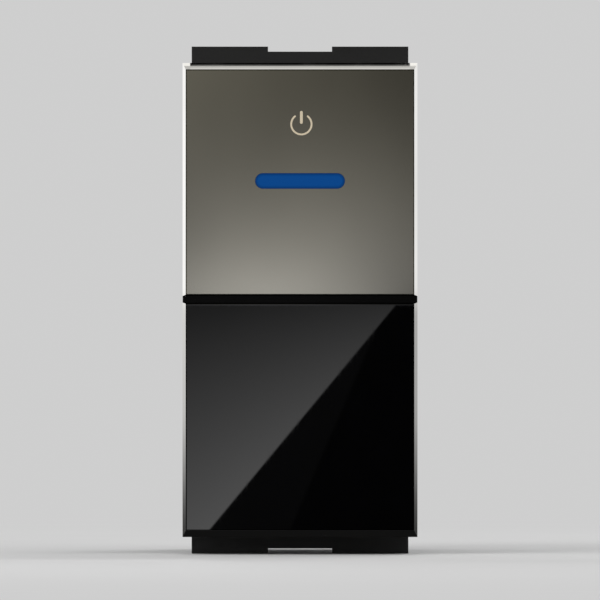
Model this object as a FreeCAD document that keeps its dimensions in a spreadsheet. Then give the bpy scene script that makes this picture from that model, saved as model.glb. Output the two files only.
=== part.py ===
import FreeCAD, Part
import os
import re

import Sketcher
from FreeCAD import Vector

# Modular touch switch, one module wide.
# Millimetres. The front faces -Y, +X is to the right and +Z is up.
# The origin is the module's centre on the seat plane, which is the rear face of
# the carrier's two shoulders, where they bear on the front of a support frame.

# Driving sizes, one row of the sheet each
SIZES = {
    # Bezel, the bright frame round the two plates
    "front_width": 22.3,
    "front_height": 45.0,
    "front_rise": 8.8,
    "bezel_wall": 0.9,
    "rim_side": 0.35,
    "rim_end": 0.66,
    "rim_land": 0.03,
    "bevel_depth": 0.45,
    "ledge_width": 1.0,
    "ledge_thickness": 1.0,
    "crossbar_height": 3.2,
    # Plates and the bar between them
    "plate_recess": 0.03,
    "plate_thickness": 1.57,
    "plate_clearance": 0.02,
    "edge_bevel": 0.06,
    "divider_inset": 0.075,
    "divider_height": 0.8,
    "divider_rise": 0.07,
    "divider_taper": 0.15,
    "divider_gap": 0.05,
    "divider_recess": 0.25,
    "adhesive_thickness": 0.15,
    # Indicator
    "lens_length": 8.5,
    "lens_height": 1.45,
    "lens_drop": 10.54,
    "lens_clearance": 0.02,
    "guide_margin": 0.25,
    "guide_clearance": 0.05,
    "shield_wall": 0.8,
    "led_width": 2.8,
    "led_height": 1.4,
    "led_thickness": 0.8,
    "led_spread": 2.2,
    "led_gap": 0.2,
    "symbol_spacing": 5.4,
    # Touch springs
    "spring_diameter": 5.0,
    "spring_wire": 0.35,
    "spring_turns": 3.5,
    "lower_spring_drop": 11.3,
    # Touch board and what is soldered on it
    "touch_board_thickness": 1.0,
    "touch_board_margin": 0.25,
    "touch_chip_size": 5.0,
    "touch_chip_thickness": 0.9,
    "touch_chip_rise": 6.0,
    "small_part_length": 1.6,
    "small_part_width": 0.8,
    "small_part_thickness": 0.6,
    "small_part_pitch": 2.6,
    "small_part_drop": 14.0,
    "board_screw_shank": 1.6,
    "board_screw_head": 3.0,
    "board_screw_head_thickness": 0.9,
    "board_screw_length": 3.6,
    "board_screw_inset": 2.6,
    "board_screw_slack": 0.15,
    "screw_hold": 0.02,
    "driver_slot_width": 0.5,
    "driver_slot_depth": 0.4,
    # Plug and socket between the two boards
    "connector_drop": 7.5,
    "pin_pitch": 1.27,
    "pin_thickness": 0.46,
    "pin_hole_diameter": 0.8,
    "pin_slack": 0.05,
    "pin_tip": 0.4,
    "pin_insertion": 2.4,
    "socket_length": 8.8,
    "socket_width": 2.5,
    "header_thickness": 1.6,
    "mating_gap": 0.1,
    # Front carrier
    "flange_inset": 0.825,
    "shoulder_proud": 1.657,
    "flange_thickness": 1.6,
    "release_notch_width": 6.1,
    "release_notch_depth": 0.48,
    "seat_recess": 0.2,
    "seat_slack": 0.1,
    "carrier_wall": 0.8,
    "carrier_wall_rise": 2.0,
    "carrier_clearance": 0.1,
    "bezel_snap_length": 4.0,
    "bezel_snap_rise": 10.0,
    "bezel_snap_proud": 0.3,
    "bezel_snap_depth": 0.7,
    "bezel_snap_offset": 0.6,
    "snap_slack": 0.05,
    "screw_boss_diameter": 3.4,
    "screw_boss_hole_depth": 3.0,
    "window_slack": 0.3,
    "leg_width": 2.0,
    "leg_thickness": 0.9,
    "leg_inset": 1.9,
    "leg_length": 5.8,
    "hook_proud": 0.7,
    "hook_start": 4.2,
    "hook_land": 0.4,
    "press_post_width": 1.6,
    "press_post_side_inset": 1.7,
    "press_post_end_inset": 0.95,
    # Rear housing
    "housing_side_inset": 0.65,
    "housing_end_inset": 1.0,
    "housing_depth": 28.0,
    "housing_side_wall": 1.0,
    "housing_end_wall": 1.2,
    "housing_rear_wall": 1.4,
    "housing_corner": 0.8,
    "housing_rear_bevel": 0.5,
    "recess_wall": 1.0,
    "recess_depth": 3.6,
    "board_rib_width": 1.0,
    "board_rib_proud": 0.6,
    "board_rib_inset": 4.1,
    "board_rib_length": 6.0,
    "partition_thickness": 0.45,
    "marking_width": 13.0,
    "marking_height": 9.0,
    "marking_depth": 0.3,
    "marking_rise": 6.0,
    "vent_width": 1.0,
    "vent_length": 7.0,
    "vent_pitch": 2.6,
    "vent_setback": 15.0,
    # Snap latches
    "latch_width": 5.6,
    "latch_thickness": 1.2,
    "latch_inset": 0.1,
    "latch_side_slack": 0.25,
    "latch_pivot": 10.8,
    "latch_tip": 0.4,
    "latch_catch": 2.1,
    "latch_hook_rise": 1.5,
    "latch_hook_land": 1.1,
    "latch_ramp": 3.0,
    "latch_end_slack": 0.1,
    # Power board
    "power_board_setback": 1.5,
    "power_board_thickness": 1.6,
    "power_board_side_gap": 0.4,
    "power_board_end_gap": 0.2,
    "lead_tip": 0.3,
    "lead_slack": 0.1,
    # Terminals
    "cage_side_gap": 0.45,
    "cage_wall": 0.65,
    "cage_depth": 7.7,
    "cage_slack": 0.1,
    "cage_floor": 1.6,
    "tunnel_height": 5.4,
    "saddle_thickness": 1.0,
    "saddle_slack": 0.1,
    "clamp_screw_diameter": 3.0,
    "clamp_screw_length": 4.7,
    "clamp_screw_slack": 0.05,
    "clamp_access_slack": 0.3,
    "clamp_slot_width": 0.6,
    "clamp_slot_depth": 0.7,
    "terminal_floor_rise": 3.05,
    "entry_slack": 0.05,
    "entry_bevel": 0.4,
    "strip_width": 2.4,
    "strip_thickness": 0.6,
    # Relay
    "relay_side_gap": 0.9,
    "relay_end_gap": 0.8,
    "relay_width": 7.8,
    "relay_length": 16.4,
    "relay_height": 15.3,
    "relay_wall": 0.6,
    "relay_slack": 0.05,
    "relay_base_thickness": 1.5,
    "relay_pin_diameter": 0.9,
    "relay_pin_across": 2.2,
    "relay_pin_inset": 2.6,
    "yoke_width": 5.0,
    "yoke_thickness": 1.2,
    "yoke_rise": 10.6,
    "yoke_length": 9.5,
    "yoke_offset": 2.0,
    "core_diameter": 2.4,
    "core_offset": 5.6,
    "pole_diameter": 4.6,
    "pole_thickness": 0.8,
    "pole_gap": 0.3,
    "bobbin_side_gap": 0.3,
    "bobbin_flange_thickness": 0.6,
    "bobbin_tube": 3.3,
    "bobbin_slack": 0.05,
    "coil_recess": 0.15,
    "armature_thickness": 0.9,
    "armature_length": 9.3,
    "armature_gap": 0.05,
    "tail_offset": 0.8,
    "tail_length": 7.5,
    "tail_width": 4.0,
    "leaf_thickness": 0.25,
    "leaf_width": 3.0,
    "leaf_length": 8.0,
    "leaf_drop": 1.0,
    "contact_diameter": 2.2,
    "contact_thickness": 0.5,
    "contact_gap": 0.36,
    "fixed_contact_thickness": 0.4,
    "fixed_contact_pad": 0.33,
    "return_spring_width": 2.4,
    "return_spring_thickness": 0.2,
    "return_spring_length": 7.0,
    "return_spring_bend": 0.6,
    "return_spring_reach": 2.3,
    # Parts soldered on the power board
    "parts_gap": 0.6,
    "film_capacitor_width": 6.0,
    "film_capacitor_length": 10.5,
    "film_capacitor_height": 12.0,
    "film_capacitor_corner": 0.6,
    "film_capacitor_leads": 7.5,
    "bulk_capacitor_end_gap": 0.4,
    "bulk_capacitor_side_gap": 2.7,
    "bulk_capacitor_height": 11.0,
    "bulk_capacitor_leads": 3.0,
    "bulk_capacitor_bead_rise": 0.7,
    "bulk_capacitor_bead_height": 0.7,
    "bulk_capacitor_bead_depth": 0.35,
    "varistor_side_gap": 1.5,
    "varistor_diameter": 7.0,
    "varistor_thickness": 3.2,
    "varistor_standoff": 0.6,
    "varistor_leads": 5.0,
    "fuse_length": 6.8,
    "fuse_width": 3.0,
    "fuse_height": 7.6,
    "fuse_leads": 4.4,
    "choke_side_gap": 1.6,
    "choke_diameter": 5.0,
    "choke_waist": 3.6,
    "choke_height": 7.0,
    "choke_rim": 1.0,
    "choke_leads": 2.4,
    "bridge_rectifier_share": 0.51,
    "bridge_rectifier_width": 3.8,
    "bridge_rectifier_height": 2.4,
    "regulator_side_gap": 1.9,
    "regulator_width": 2.5,
    "regulator_height": 1.5,
    "foot_length": 0.9,
    "foot_width": 0.8,
    "foot_thickness": 0.3,
    "lead_diameter": 0.7,
}

# Places worked out from the sizes, each named once
PLACES = {
    # Depths along Y
    "front": "-front_rise",
    "bevel_back": "front + bevel_depth",
    "plate_front": "front + plate_recess",
    "plate_back": "plate_front + plate_thickness",
    "ledge_front": "plate_back + adhesive_thickness",
    "ledge_back": "ledge_front + ledge_thickness",
    "skirt_back": "-flange_thickness",
    "touch_back": "skirt_back - carrier_wall_rise",
    "touch_front": "touch_back - touch_board_thickness",
    "guide_back": "touch_front - led_thickness - led_gap",
    "header_back": "touch_back + header_thickness",
    "socket_front": "header_back + mating_gap",
    "pin_back": "socket_front + pin_insertion",
    "power_front": "power_board_setback",
    "power_back": "power_front + power_board_thickness",
    "lead_front": "power_front - lead_tip",
    "housing_front": "-seat_recess",
    "rear_inside": "housing_depth - housing_rear_wall",
    # Heights and half widths across the front
    "plate_width": "front_width - 2 * rim_side",
    "plate_field_height": "front_height - 2 * rim_end",
    "plate_reach": "plate_field_height / 2",
    "side_bevel": "rim_side - plate_clearance - rim_land",
    "end_bevel": "rim_end - plate_clearance - rim_land",
    "divider_width": "front_width - 2 * divider_inset",
    "lens_rise": "plate_reach - lens_drop",
    "symbol_rise": "lens_rise + symbol_spacing",
    "divider_top": "divider_rise + divider_height / 2",
    "divider_foot": "divider_rise - divider_height / 2",
    "upper_foot": "divider_top + divider_gap",
    "lower_top": "divider_foot - divider_gap",
    "window_half_width": "plate_width / 2 - ledge_width",
    "window_reach": "plate_reach - ledge_width",
    "crossbar_top": "divider_rise + crossbar_height / 2",
    "crossbar_foot": "divider_rise - crossbar_height / 2",
    "cavity_half_width": "front_width / 2 - bezel_wall",
    "cavity_half_height": "front_height / 2 - bezel_wall",
    "touch_half_width": "cavity_half_width - touch_board_margin",
    "touch_half_height": "cavity_half_height - touch_board_margin",
    "board_screw_across": "touch_half_width - board_screw_inset",
    "board_screw_rise": "touch_half_height - board_screw_inset",
    "carrier_half_width": "cavity_half_width - carrier_clearance",
    "carrier_half_height": "cavity_half_height - carrier_clearance",
    "flange_width": "front_width - 2 * flange_inset",
    "flange_height": "front_height + 2 * shoulder_proud",
    "housing_width": "front_width - 2 * housing_side_inset",
    "housing_height": "front_height - 2 * housing_end_inset",
    # Inside of the rear housing
    "inside_half_width": "housing_width / 2 - housing_side_wall",
    "inside_half_height": "housing_height / 2 - housing_end_wall",
    "recess_floor": "housing_height / 2 - recess_depth",
    "recess_half_width": "latch_width / 2 + latch_side_slack",
    "recess_end": "latch_pivot + latch_thickness / 2 + latch_end_slack",
    "leg_outside": "inside_half_width - carrier_clearance",
    "leg_rise": "inside_half_height - leg_inset",
    "power_half_width": "inside_half_width - power_board_side_gap",
    "power_half_height": "recess_floor - recess_wall - power_board_end_gap",
    "press_post_across": "power_half_width - press_post_side_inset",
    "press_post_rise": "power_half_height - press_post_end_inset",
    "board_rib_rise": "power_half_height - board_rib_inset",
    "latch_outside": "housing_height / 2 - latch_inset",
    "latch_inside": "latch_outside - latch_thickness",
    # Terminals, side by side and low to high
    "terminal_space": "2 * (inside_half_width - partition_thickness - 2 * cage_slack - cage_side_gap)",
    "cage_width": "terminal_space / 3",
    "terminal_pitch": "cage_width + partition_thickness + 2 * cage_slack",
    "terminal_floor": "-housing_height / 2 + terminal_floor_rise",
    "cage_foot": "terminal_floor + cage_slack",
    "tunnel_foot": "cage_foot + cage_floor",
    "tunnel_top": "tunnel_foot + tunnel_height",
    "cage_top": "tunnel_top + cage_wall",
    "cage_back": "rear_inside - cage_slack",
    "cage_front": "cage_back - cage_depth",
    "clamp_axis": "(cage_front + cage_wall + cage_back) / 2",
    "saddle_foot": "tunnel_foot + saddle_slack",
    "saddle_top": "saddle_foot + saddle_thickness",
    "clamp_screw_top": "saddle_foot - clamp_screw_slack",
    "entry_middle": "(saddle_top + tunnel_top) / 2",
    "entry_width": "cage_width - 2 * cage_wall + 2 * entry_slack",
    "entry_height": "tunnel_top - saddle_top + 2 * entry_slack",
    # Relay, from the board backwards
    "relay_x": "-(inside_half_width - relay_side_gap - relay_width / 2)",
    "relay_z": "power_half_height - relay_end_gap - relay_length / 2",
    "relay_foot": "relay_z - relay_length / 2",
    "relay_right": "relay_x + relay_width / 2",
    "relay_pin_reach": "relay_length / 2 - relay_pin_inset",
    "bobbin_flange": "relay_width - 2 * relay_wall - 2 * bobbin_side_gap",
    "coil_diameter": "bobbin_flange - 2 * coil_recess",
    "relay_base_back": "power_back + relay_base_thickness",
    "relay_inside_half_width": "relay_width / 2 - relay_wall - relay_slack",
    "relay_inside_half_length": "relay_length / 2 - relay_wall - relay_slack",
    "yoke_outside": "relay_z - yoke_offset",
    "yoke_inside": "yoke_outside + yoke_thickness",
    "yoke_top": "relay_base_back + yoke_rise",
    "core_z": "yoke_outside + core_offset",
    "core_foot": "relay_base_back + yoke_thickness",
    "armature_front": "yoke_top + armature_gap",
    "armature_back": "armature_front + armature_thickness",
    "pole_face": "armature_front - pole_gap",
    "bobbin_front": "core_foot + bobbin_slack",
    "bobbin_back": "pole_face - pole_thickness - bobbin_slack",
    "winding_front": "bobbin_front + bobbin_flange_thickness",
    "winding_back": "bobbin_back - bobbin_flange_thickness",
    "tail_inside": "yoke_outside - tail_offset",
    "tail_outside": "tail_inside - armature_thickness",
    "tail_front": "armature_back - tail_length",
    "leaf_outside": "tail_outside - leaf_thickness",
    "leaf_front": "tail_front - leaf_drop",
    "contact_y": "leaf_front + contact_diameter / 2 + lead_slack",
    "contact_tip": "leaf_outside - contact_thickness",
    "fixed_tip": "contact_tip - contact_gap",
    "fixed_inside": "fixed_tip - fixed_contact_pad",
    "fixed_outside": "fixed_inside - fixed_contact_thickness",
    # Parts soldered on the power board
    "bulk_capacitor_diameter": "inside_half_width - bulk_capacitor_side_gap - relay_right - parts_gap",
    "bulk_capacitor_x": "relay_right + parts_gap + bulk_capacitor_diameter / 2",
    "bulk_capacitor_z": "power_half_height - bulk_capacitor_end_gap - bulk_capacitor_diameter / 2",
    "film_capacitor_x": "relay_right + parts_gap + film_capacitor_width / 2",
    "film_capacitor_top": "bulk_capacitor_z - bulk_capacitor_diameter / 2 - parts_gap",
    "film_capacitor_z": "film_capacitor_top - film_capacitor_length / 2",
    "varistor_x": "-(inside_half_width - varistor_side_gap - varistor_diameter / 2)",
    "varistor_z": "relay_foot - parts_gap - varistor_thickness / 2",
    "fuse_x": "varistor_x + varistor_diameter / 2 + parts_gap + fuse_length / 2",
    "fuse_z": "film_capacitor_z - film_capacitor_length / 2 - parts_gap - fuse_width / 2",
    "choke_x": "-(inside_half_width - choke_side_gap - choke_diameter / 2)",
    "choke_z": "cage_top - parts_gap - choke_diameter / 2",
    "chip_row_start": "choke_x + choke_diameter / 2 + parts_gap",
    "chip_row_length": "inside_half_width - regulator_side_gap - parts_gap - chip_row_start",
    "bridge_rectifier_length": "chip_row_length * bridge_rectifier_share",
    "bridge_rectifier_x": "chip_row_start + bridge_rectifier_length / 2",
    "bridge_rectifier_z": "choke_z",
    "regulator_length": "chip_row_length - bridge_rectifier_length",
    "regulator_x": "bridge_rectifier_x + bridge_rectifier_length / 2 + parts_gap + regulator_length / 2",
    "regulator_z": "choke_z",
}

PIN_COUNT = 6
SMALL_PART_COUNT = 5
VENT_COUNT = 4
SIDES = (-1, 1)
CLOSE = 1e-4
TERMINALS = {"left": -1, "centre": 0, "right": 1}

# Parts with two wire leads, and whether the leads are spread along X or along Z
LEADED_PARTS = {
    "film_capacitor": (0, 1),
    "bulk_capacitor": (1, 0),
    "varistor": (1, 0),
    "fuse": (1, 0),
    "choke": (1, 0),
}

doc = FreeCAD.newDocument("touch_switch")
sheet = doc.addObject("Spreadsheet::Sheet", "Sizes")
for row, (size_name, size) in enumerate(SIZES.items(), start=1):
    sheet.set(f"A{row}", size_name)
    sheet.set(f"B{row}", str(size))
    sheet.setAlias(f"B{row}", size_name)
doc.recompute()

pieces = []


def formula(words):
    """Write words as an expression: sizes get the sheet's name, places their own formula."""
    def spell(match):
        word = match.group(0)
        if word in PLACES:
            return f"({formula(PLACES[word])})"
        if word in SIZES:
            return f"Sizes.{word}"
        return word
    return re.sub(r"[a-z][a-z_]*", spell, str(words))


def value(words):
    """The number that the words come to."""
    return float(sheet.evalExpression(formula(words)))


# Each view names the origin plane that a sketch lies on, and which way its normal points.
# front: across is X, up is Z.  top: across is X, up is Y.  side: across is Y, up is Z.
VIEWS = {"front": ("XZ_Plane", -1), "top": ("XY_Plane", 1), "side": ("YZ_Plane", 1)}


def piece(label):
    """A new body, which is exported under its label."""
    body = doc.addObject("PartDesign::Body", label)
    body.Label = label
    pieces.append(body)
    return body


def new_sketch(body, name, view, level):
    """A sketch parallel to one of the body's origin planes, at the given level."""
    role, sense = VIEWS[view]
    sketch = body.newObject("Sketcher::SketchObject", name)
    sketch.AttachmentSupport = [(next(f for f in body.Origin.OriginFeatures if f.Role == role), "")]
    sketch.MapMode = "FlatFace"
    sketch.setExpression(".AttachmentOffset.Base.z", formula(f"{sense} * ({level})"))
    return sketch


def bind(sketch, kind, size, *targets):
    """A driving constraint of a sketch, bound to a formula."""
    index = sketch.addConstraint(Sketcher.Constraint(kind, *targets, value(size)))
    sketch.setExpression(f"Constraints[{index}]", formula(size))


def bind_point(sketch, edge, end, across, up):
    """Hold one end or centre of an edge at a place measured from the sketch's origin."""
    bind(sketch, "DistanceX", across, -1, 1, edge, end)
    bind(sketch, "DistanceY", up, -1, 1, edge, end)


def polygon(*corners):
    """A closed outline of straight lines through the corners."""
    def draw(sketch):
        first = sketch.GeometryCount
        spots = [Vector(value(across), value(up), 0) for across, up in corners]
        for start, end in zip(spots, spots[1:] + spots[:1]):
            sketch.addGeometry(Part.LineSegment(start, end), False)
        for step, (across, up) in enumerate(corners):
            edge = first + step
            before = first + (step - 1) % len(corners)
            sketch.addConstraint(Sketcher.Constraint("Coincident", before, 2, edge, 1))
            bind_point(sketch, edge, 1, across, up)
    return draw


def rectangle(left, foot, right, top):
    """A rectangle between two corners."""
    return polygon((left, foot), (right, foot), (right, top), (left, top))


def centred(across, up, width, height):
    """A rectangle about its centre."""
    return rectangle(
        f"({across}) - ({width}) / 2", f"({up}) - ({height}) / 2",
        f"({across}) + ({width}) / 2", f"({up}) + ({height}) / 2",
    )


def circle(across, up, diameter):
    """A circle about its centre."""
    def draw(sketch):
        centre = Vector(value(across), value(up), 0)
        radius = f"({diameter}) / 2"
        edge = sketch.addGeometry(Part.Circle(centre, Vector(0, 0, 1), value(radius)), False)
        bind_point(sketch, edge, 3, across, up)
        bind(sketch, "Radius", radius, edge)
    return draw


def stadium(across, up, length, height):
    """A bar with round ends: two straight edges joined by two half circles."""
    def draw(sketch):
        left = f"({across}) - (({length}) - ({height})) / 2"
        right = f"({across}) + (({length}) - ({height})) / 2"
        foot = f"({up}) - ({height}) / 2"
        top = f"({up}) + ({height}) / 2"
        corners = [(left, foot), (right, foot), (right, top), (left, top)]
        spots = [Vector(value(a), value(b), 0) for a, b in corners]
        reach = value(f"({length}) / 2")
        tip_right = Vector(value(across) + reach, value(up), 0)
        tip_left = Vector(value(across) - reach, value(up), 0)
        floor = sketch.addGeometry(Part.LineSegment(spots[0], spots[1]), False)
        sketch.addGeometry(Part.Arc(spots[1], tip_right, spots[2]), False)
        roof = sketch.addGeometry(Part.LineSegment(spots[2], spots[3]), False)
        sketch.addGeometry(Part.Arc(spots[3], tip_left, spots[0]), False)
        bind_point(sketch, floor, 1, *corners[0])
        bind_point(sketch, floor, 2, *corners[1])
        bind_point(sketch, roof, 1, *corners[2])
        bind_point(sketch, roof, 2, *corners[3])
        for arc, start, end in ((floor + 1, (floor, 2), (roof, 1)), (roof + 1, (roof, 2), (floor, 1))):
            sketch.addConstraint(Sketcher.Constraint("Coincident", *start, arc, 1))
            sketch.addConstraint(Sketcher.Constraint("Coincident", *end, arc, 2))
        bind(sketch, "DistanceX", right, -1, 1, floor + 1, 3)
        bind(sketch, "DistanceX", left, -1, 1, roof + 1, 3)
    return draw


def extrude(body, kind, name, view, low, high, outlines, grows_from):
    """A pad or pocket between two levels along the view's axis."""
    sketch = new_sketch(body, f"{name}_sketch", view, grows_from)
    for draw in outlines:
        draw(sketch)
    feature = body.newObject(f"PartDesign::{kind}", name)
    feature.Profile = sketch
    feature.setExpression("Length", formula(f"({high}) - ({low})"))
    return feature


def pad(body, name, view, low, high, *outlines):
    """Add material inside the outlines, from the low level to the high one."""
    grows_from = high if VIEWS[view][1] < 0 else low
    return extrude(body, "Pad", name, view, low, high, outlines, grows_from)


def pocket(body, name, view, low, high, *outlines):
    """Cut material away inside the outlines, from the low level to the high one."""
    grows_from = low if VIEWS[view][1] < 0 else high
    return extrude(body, "Pocket", name, view, low, high, outlines, grows_from)


def soften(body, kind, name, size, picks):
    """A fillet or chamfer on the edges of the body's last feature that the test picks."""
    doc.recompute()
    base = body.Tip
    chosen = [f"Edge{i}" for i, edge in enumerate(base.Shape.Edges, start=1) if picks(edge)]
    feature = body.newObject(f"PartDesign::{kind}", name)
    feature.Base = (base, chosen)
    feature.setExpression("Radius" if kind == "Fillet" else "Size", formula(size))
    return feature


def near(first, second):
    """Whether two lengths are the same."""
    return abs(first - second) < CLOSE


def rim_at(level, half_width, low, high):
    """A test for the straight edges of a front outline: flat at the level, on the outline."""
    depth, across, foot, top = (value(words) for words in (level, half_width, low, high))

    def picks(edge):
        box = edge.BoundBox
        if not (near(box.YMin, depth) and near(box.YMax, depth)):
            return False
        side = near(box.XMin, box.XMax) and near(abs(box.XMin), across)
        end = near(box.ZMin, box.ZMax) and (near(box.ZMin, foot) or near(box.ZMin, top))
        return side or end
    return picks


def flat_at(level):
    """A test for the edges of a front outline that lie flat at the level."""
    depth = value(level)

    def picks(edge):
        return near(edge.BoundBox.YMin, depth) and near(edge.BoundBox.YMax, depth)
    return picks


# Front: bezel, plates, bar and indicator

def tapered_bar(half_width, foot, top):
    """The bar's outline: even between the plates' sides, and narrower towards its two ends."""
    half, low, high = "plate_width / 2", f"{foot} + divider_taper", f"{top} - divider_taper"
    return polygon(
        (f"-{half_width}", low), (f"-{half}", foot), (half, foot), (half_width, low),
        (half_width, high), (half, top), (f"-{half}", top), (f"-{half_width}", high))


def polished_bezel():
    body = piece("polished_bezel")
    outline = centred(0, 0, "front_width", "front_height")
    pad(body, "bezel_block", "front", "bevel_back", "skirt_back", outline)
    wide = new_sketch(body, "bevel_foot", "front", "bevel_back")
    outline(wide)
    narrow = new_sketch(body, "bevel_edge", "front", "front")
    centred(0, 0, "front_width - 2 * side_bevel", "front_height - 2 * end_bevel")(narrow)
    bevel = body.newObject("PartDesign::AdditiveLoft", "bezel_bevel")
    bevel.Profile = wide
    bevel.Sections = [narrow]
    bevel.Ruled = True
    pocket(body, "plate_seat", "front", "front", "ledge_front", centred(
        0, 0, "plate_width + 2 * plate_clearance", "plate_field_height + 2 * plate_clearance"))
    pocket(body, "board_space", "front", "ledge_back", "skirt_back", centred(
        0, 0, "2 * cavity_half_width", "2 * cavity_half_height"))
    pocket(body, "plate_windows", "front", "ledge_front", "ledge_back",
           rectangle("-window_half_width", "crossbar_top", "window_half_width", "window_reach"),
           rectangle("-window_half_width", "-window_reach", "window_half_width", "crossbar_foot"))
    pocket(body, "divider_notch", "front", "front", "ledge_front",
           tapered_bar("front_width / 2", "lower_top", "upper_foot"))
    snap_top = "skirt_back - bezel_snap_offset"
    pocket(body, "snap_recesses", "front",
           f"{snap_top} - bezel_snap_depth - snap_slack", f"{snap_top} + snap_slack",
           *[centred(f"{side} * (carrier_half_width + (bezel_snap_proud + snap_slack) / 2)",
                     f"{end} * bezel_snap_rise",
                     "bezel_snap_proud + snap_slack", "bezel_snap_length + 2 * snap_slack")
             for side in SIDES for end in SIDES])


def touch_plate(label, foot, top):
    """A plate that fills one half of the bezel, with a fine bevel round its front."""
    body = piece(label)
    pad(body, f"{label}_sheet", "front", "plate_front", "plate_back",
        rectangle("-plate_width / 2", foot, "plate_width / 2", top))
    return body


def plate_bevel(body, foot, top):
    soften(body, "Chamfer", f"{body.Label}_bevel", "edge_bevel",
           rim_at("plate_front", "plate_width / 2", foot, top))


def plates():
    upper = touch_plate("upper_touch_plate", "upper_foot", "plate_reach")
    pocket(upper, "lens_window", "front", "plate_front", "plate_back",
           stadium(0, "lens_rise", "lens_length + 2 * lens_clearance", "lens_height + 2 * lens_clearance"))
    plate_bevel(upper, "upper_foot", "plate_reach")
    lower = touch_plate("lower_touch_plate", "-plate_reach", "lower_top")
    plate_bevel(lower, "-plate_reach", "lower_top")


def divider_bar():
    body = piece("divider_bar")
    bar_front = "front + divider_recess"
    pad(body, "divider_strip", "front", bar_front, "ledge_front",
        tapered_bar("divider_width / 2", "divider_foot", "divider_top"))
    soften(body, "Chamfer", "divider_bevel", "edge_bevel", flat_at(bar_front))


def plate_adhesive(label, outer, inner):
    """A thin bonding frame between a plate's back and the bezel's ledge."""
    body = piece(label)
    pad(body, f"{label}_frame", "front", "plate_back", "ledge_front", outer, inner)


def adhesives():
    half = "plate_width / 2"
    plate_adhesive(
        "upper_plate_adhesive",
        rectangle(f"-{half}", "upper_foot", half, "plate_reach"),
        rectangle("-window_half_width", "crossbar_top", "window_half_width", "window_reach"))
    plate_adhesive(
        "lower_plate_adhesive",
        rectangle(f"-{half}", "-plate_reach", half, "lower_top"),
        rectangle("-window_half_width", "-window_reach", "window_half_width", "crossbar_foot"))


def indicator():
    lens = piece("indicator_lens")
    pad(lens, "lens_bar", "front", "plate_front", "plate_back",
        stadium(0, "lens_rise", "lens_length", "lens_height"))
    guide_length = "lens_length + 2 * guide_margin"
    guide_height = "lens_height + 2 * guide_margin"
    guide = piece("light_guide")
    pad(guide, "guide_bar", "front", "plate_back", "guide_back",
        stadium(0, "lens_rise", guide_length, guide_height))
    shaft_length = f"{guide_length} + 2 * guide_clearance"
    shaft_height = f"{guide_height} + 2 * guide_clearance"
    shield = piece("light_shield")
    pad(shield, "shield_block", "front", "plate_back", "touch_front",
        centred(0, "lens_rise",
                f"{shaft_length} + 2 * shield_wall", f"{shaft_height} + 2 * shield_wall"),
        stadium(0, "lens_rise", shaft_length, shaft_height))
    leds = piece("indicator_leds")
    pad(leds, "led_blocks", "front", "touch_front - led_thickness", "touch_front",
        centred("-led_spread", "lens_rise", "led_width", "led_height"),
        centred("led_spread", "lens_rise", "led_width", "led_height"),
        centred(0, "symbol_rise", "led_width", "led_height"))


def touch_spring(label, rise):
    """A coil that carries the touch signal from the board to the back of a plate."""
    body = piece(label)
    sketch = new_sketch(body, f"{label}_wire", "top", rise)
    circle("spring_diameter / 2", "plate_back + spring_wire / 2", "spring_wire")(sketch)
    coil = body.newObject("PartDesign::AdditiveHelix", f"{label}_coil")
    coil.Profile = sketch
    coil.ReferenceAxis = (sketch, ["V_Axis"])
    coil.Mode = "height-turns-angle"
    coil.setExpression("Height", formula("touch_front - plate_back - spring_wire"))
    coil.setExpression("Turns", formula("spring_turns"))


def board_screws():
    """Two small pan-head screws that hold the touch board on the carrier."""
    body = piece("touch_board_screws")
    spots = [(f"{side} * board_screw_across", f"{side} * board_screw_rise") for side in SIDES]
    head_front = "touch_front - board_screw_head_thickness"
    pad(body, "screw_heads", "front", head_front, "touch_front",
        *[circle(across, up, "board_screw_head") for across, up in spots])
    pad(body, "screw_shanks", "front", "touch_front", "touch_front + board_screw_length",
        *[circle(across, up, "board_screw_shank") for across, up in spots])
    pocket(body, "screw_slots", "front", head_front, f"{head_front} + driver_slot_depth",
           *[centred(across, up, "board_screw_head + driver_slot_width", "driver_slot_width")
             for across, up in spots])


def pin_places():
    """Where each pin of the plug stands, across the board."""
    return [f"{step - (PIN_COUNT - 1) / 2} * pin_pitch" for step in range(PIN_COUNT)]


def touch_board():
    board = piece("touch_board")
    pad(board, "touch_board_sheet", "front", "touch_front", "touch_back",
        centred(0, 0, "2 * touch_half_width", "2 * touch_half_height"))
    pocket(board, "touch_board_screw_holes", "front", "touch_front", "touch_back",
           *[circle(f"{side} * board_screw_across", f"{side} * board_screw_rise",
                    "board_screw_shank + 2 * board_screw_slack") for side in SIDES])
    pocket(board, "touch_board_pin_holes", "front", "touch_front", "touch_back",
           *[circle(across, "-connector_drop", "pin_hole_diameter") for across in pin_places()])
    chip = piece("touch_chip")
    pad(chip, "chip_block", "front", "touch_back", "touch_back + touch_chip_thickness",
        centred(0, "touch_chip_rise", "touch_chip_size", "touch_chip_size"))
    small = piece("touch_board_parts")
    pad(small, "small_blocks", "front", "touch_back", "touch_back + small_part_thickness",
        *[centred(f"{step - (SMALL_PART_COUNT - 1) / 2} * small_part_pitch", "-small_part_drop",
                  "small_part_width", "small_part_length") for step in range(SMALL_PART_COUNT)])


def plug_and_socket():
    header = piece("board_header")
    pad(header, "header_bar", "front", "touch_back", "header_back",
        centred(0, "-connector_drop", "socket_length", "socket_width"))
    pad(header, "header_pins", "front", "touch_front - pin_tip", "pin_back",
        *[centred(across, "-connector_drop", "pin_thickness", "pin_thickness")
          for across in pin_places()])
    socket = piece("board_socket")
    pad(socket, "socket_bar", "front", "socket_front", "power_front",
        centred(0, "-connector_drop", "socket_length", "socket_width"))
    pocket(socket, "socket_holes", "front", "socket_front", "pin_back + pin_slack",
           *[centred(across, "-connector_drop",
                     "pin_thickness + 2 * pin_slack", "pin_thickness + 2 * pin_slack")
             for across in pin_places()])


# Carrier, housing and latches

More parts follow.
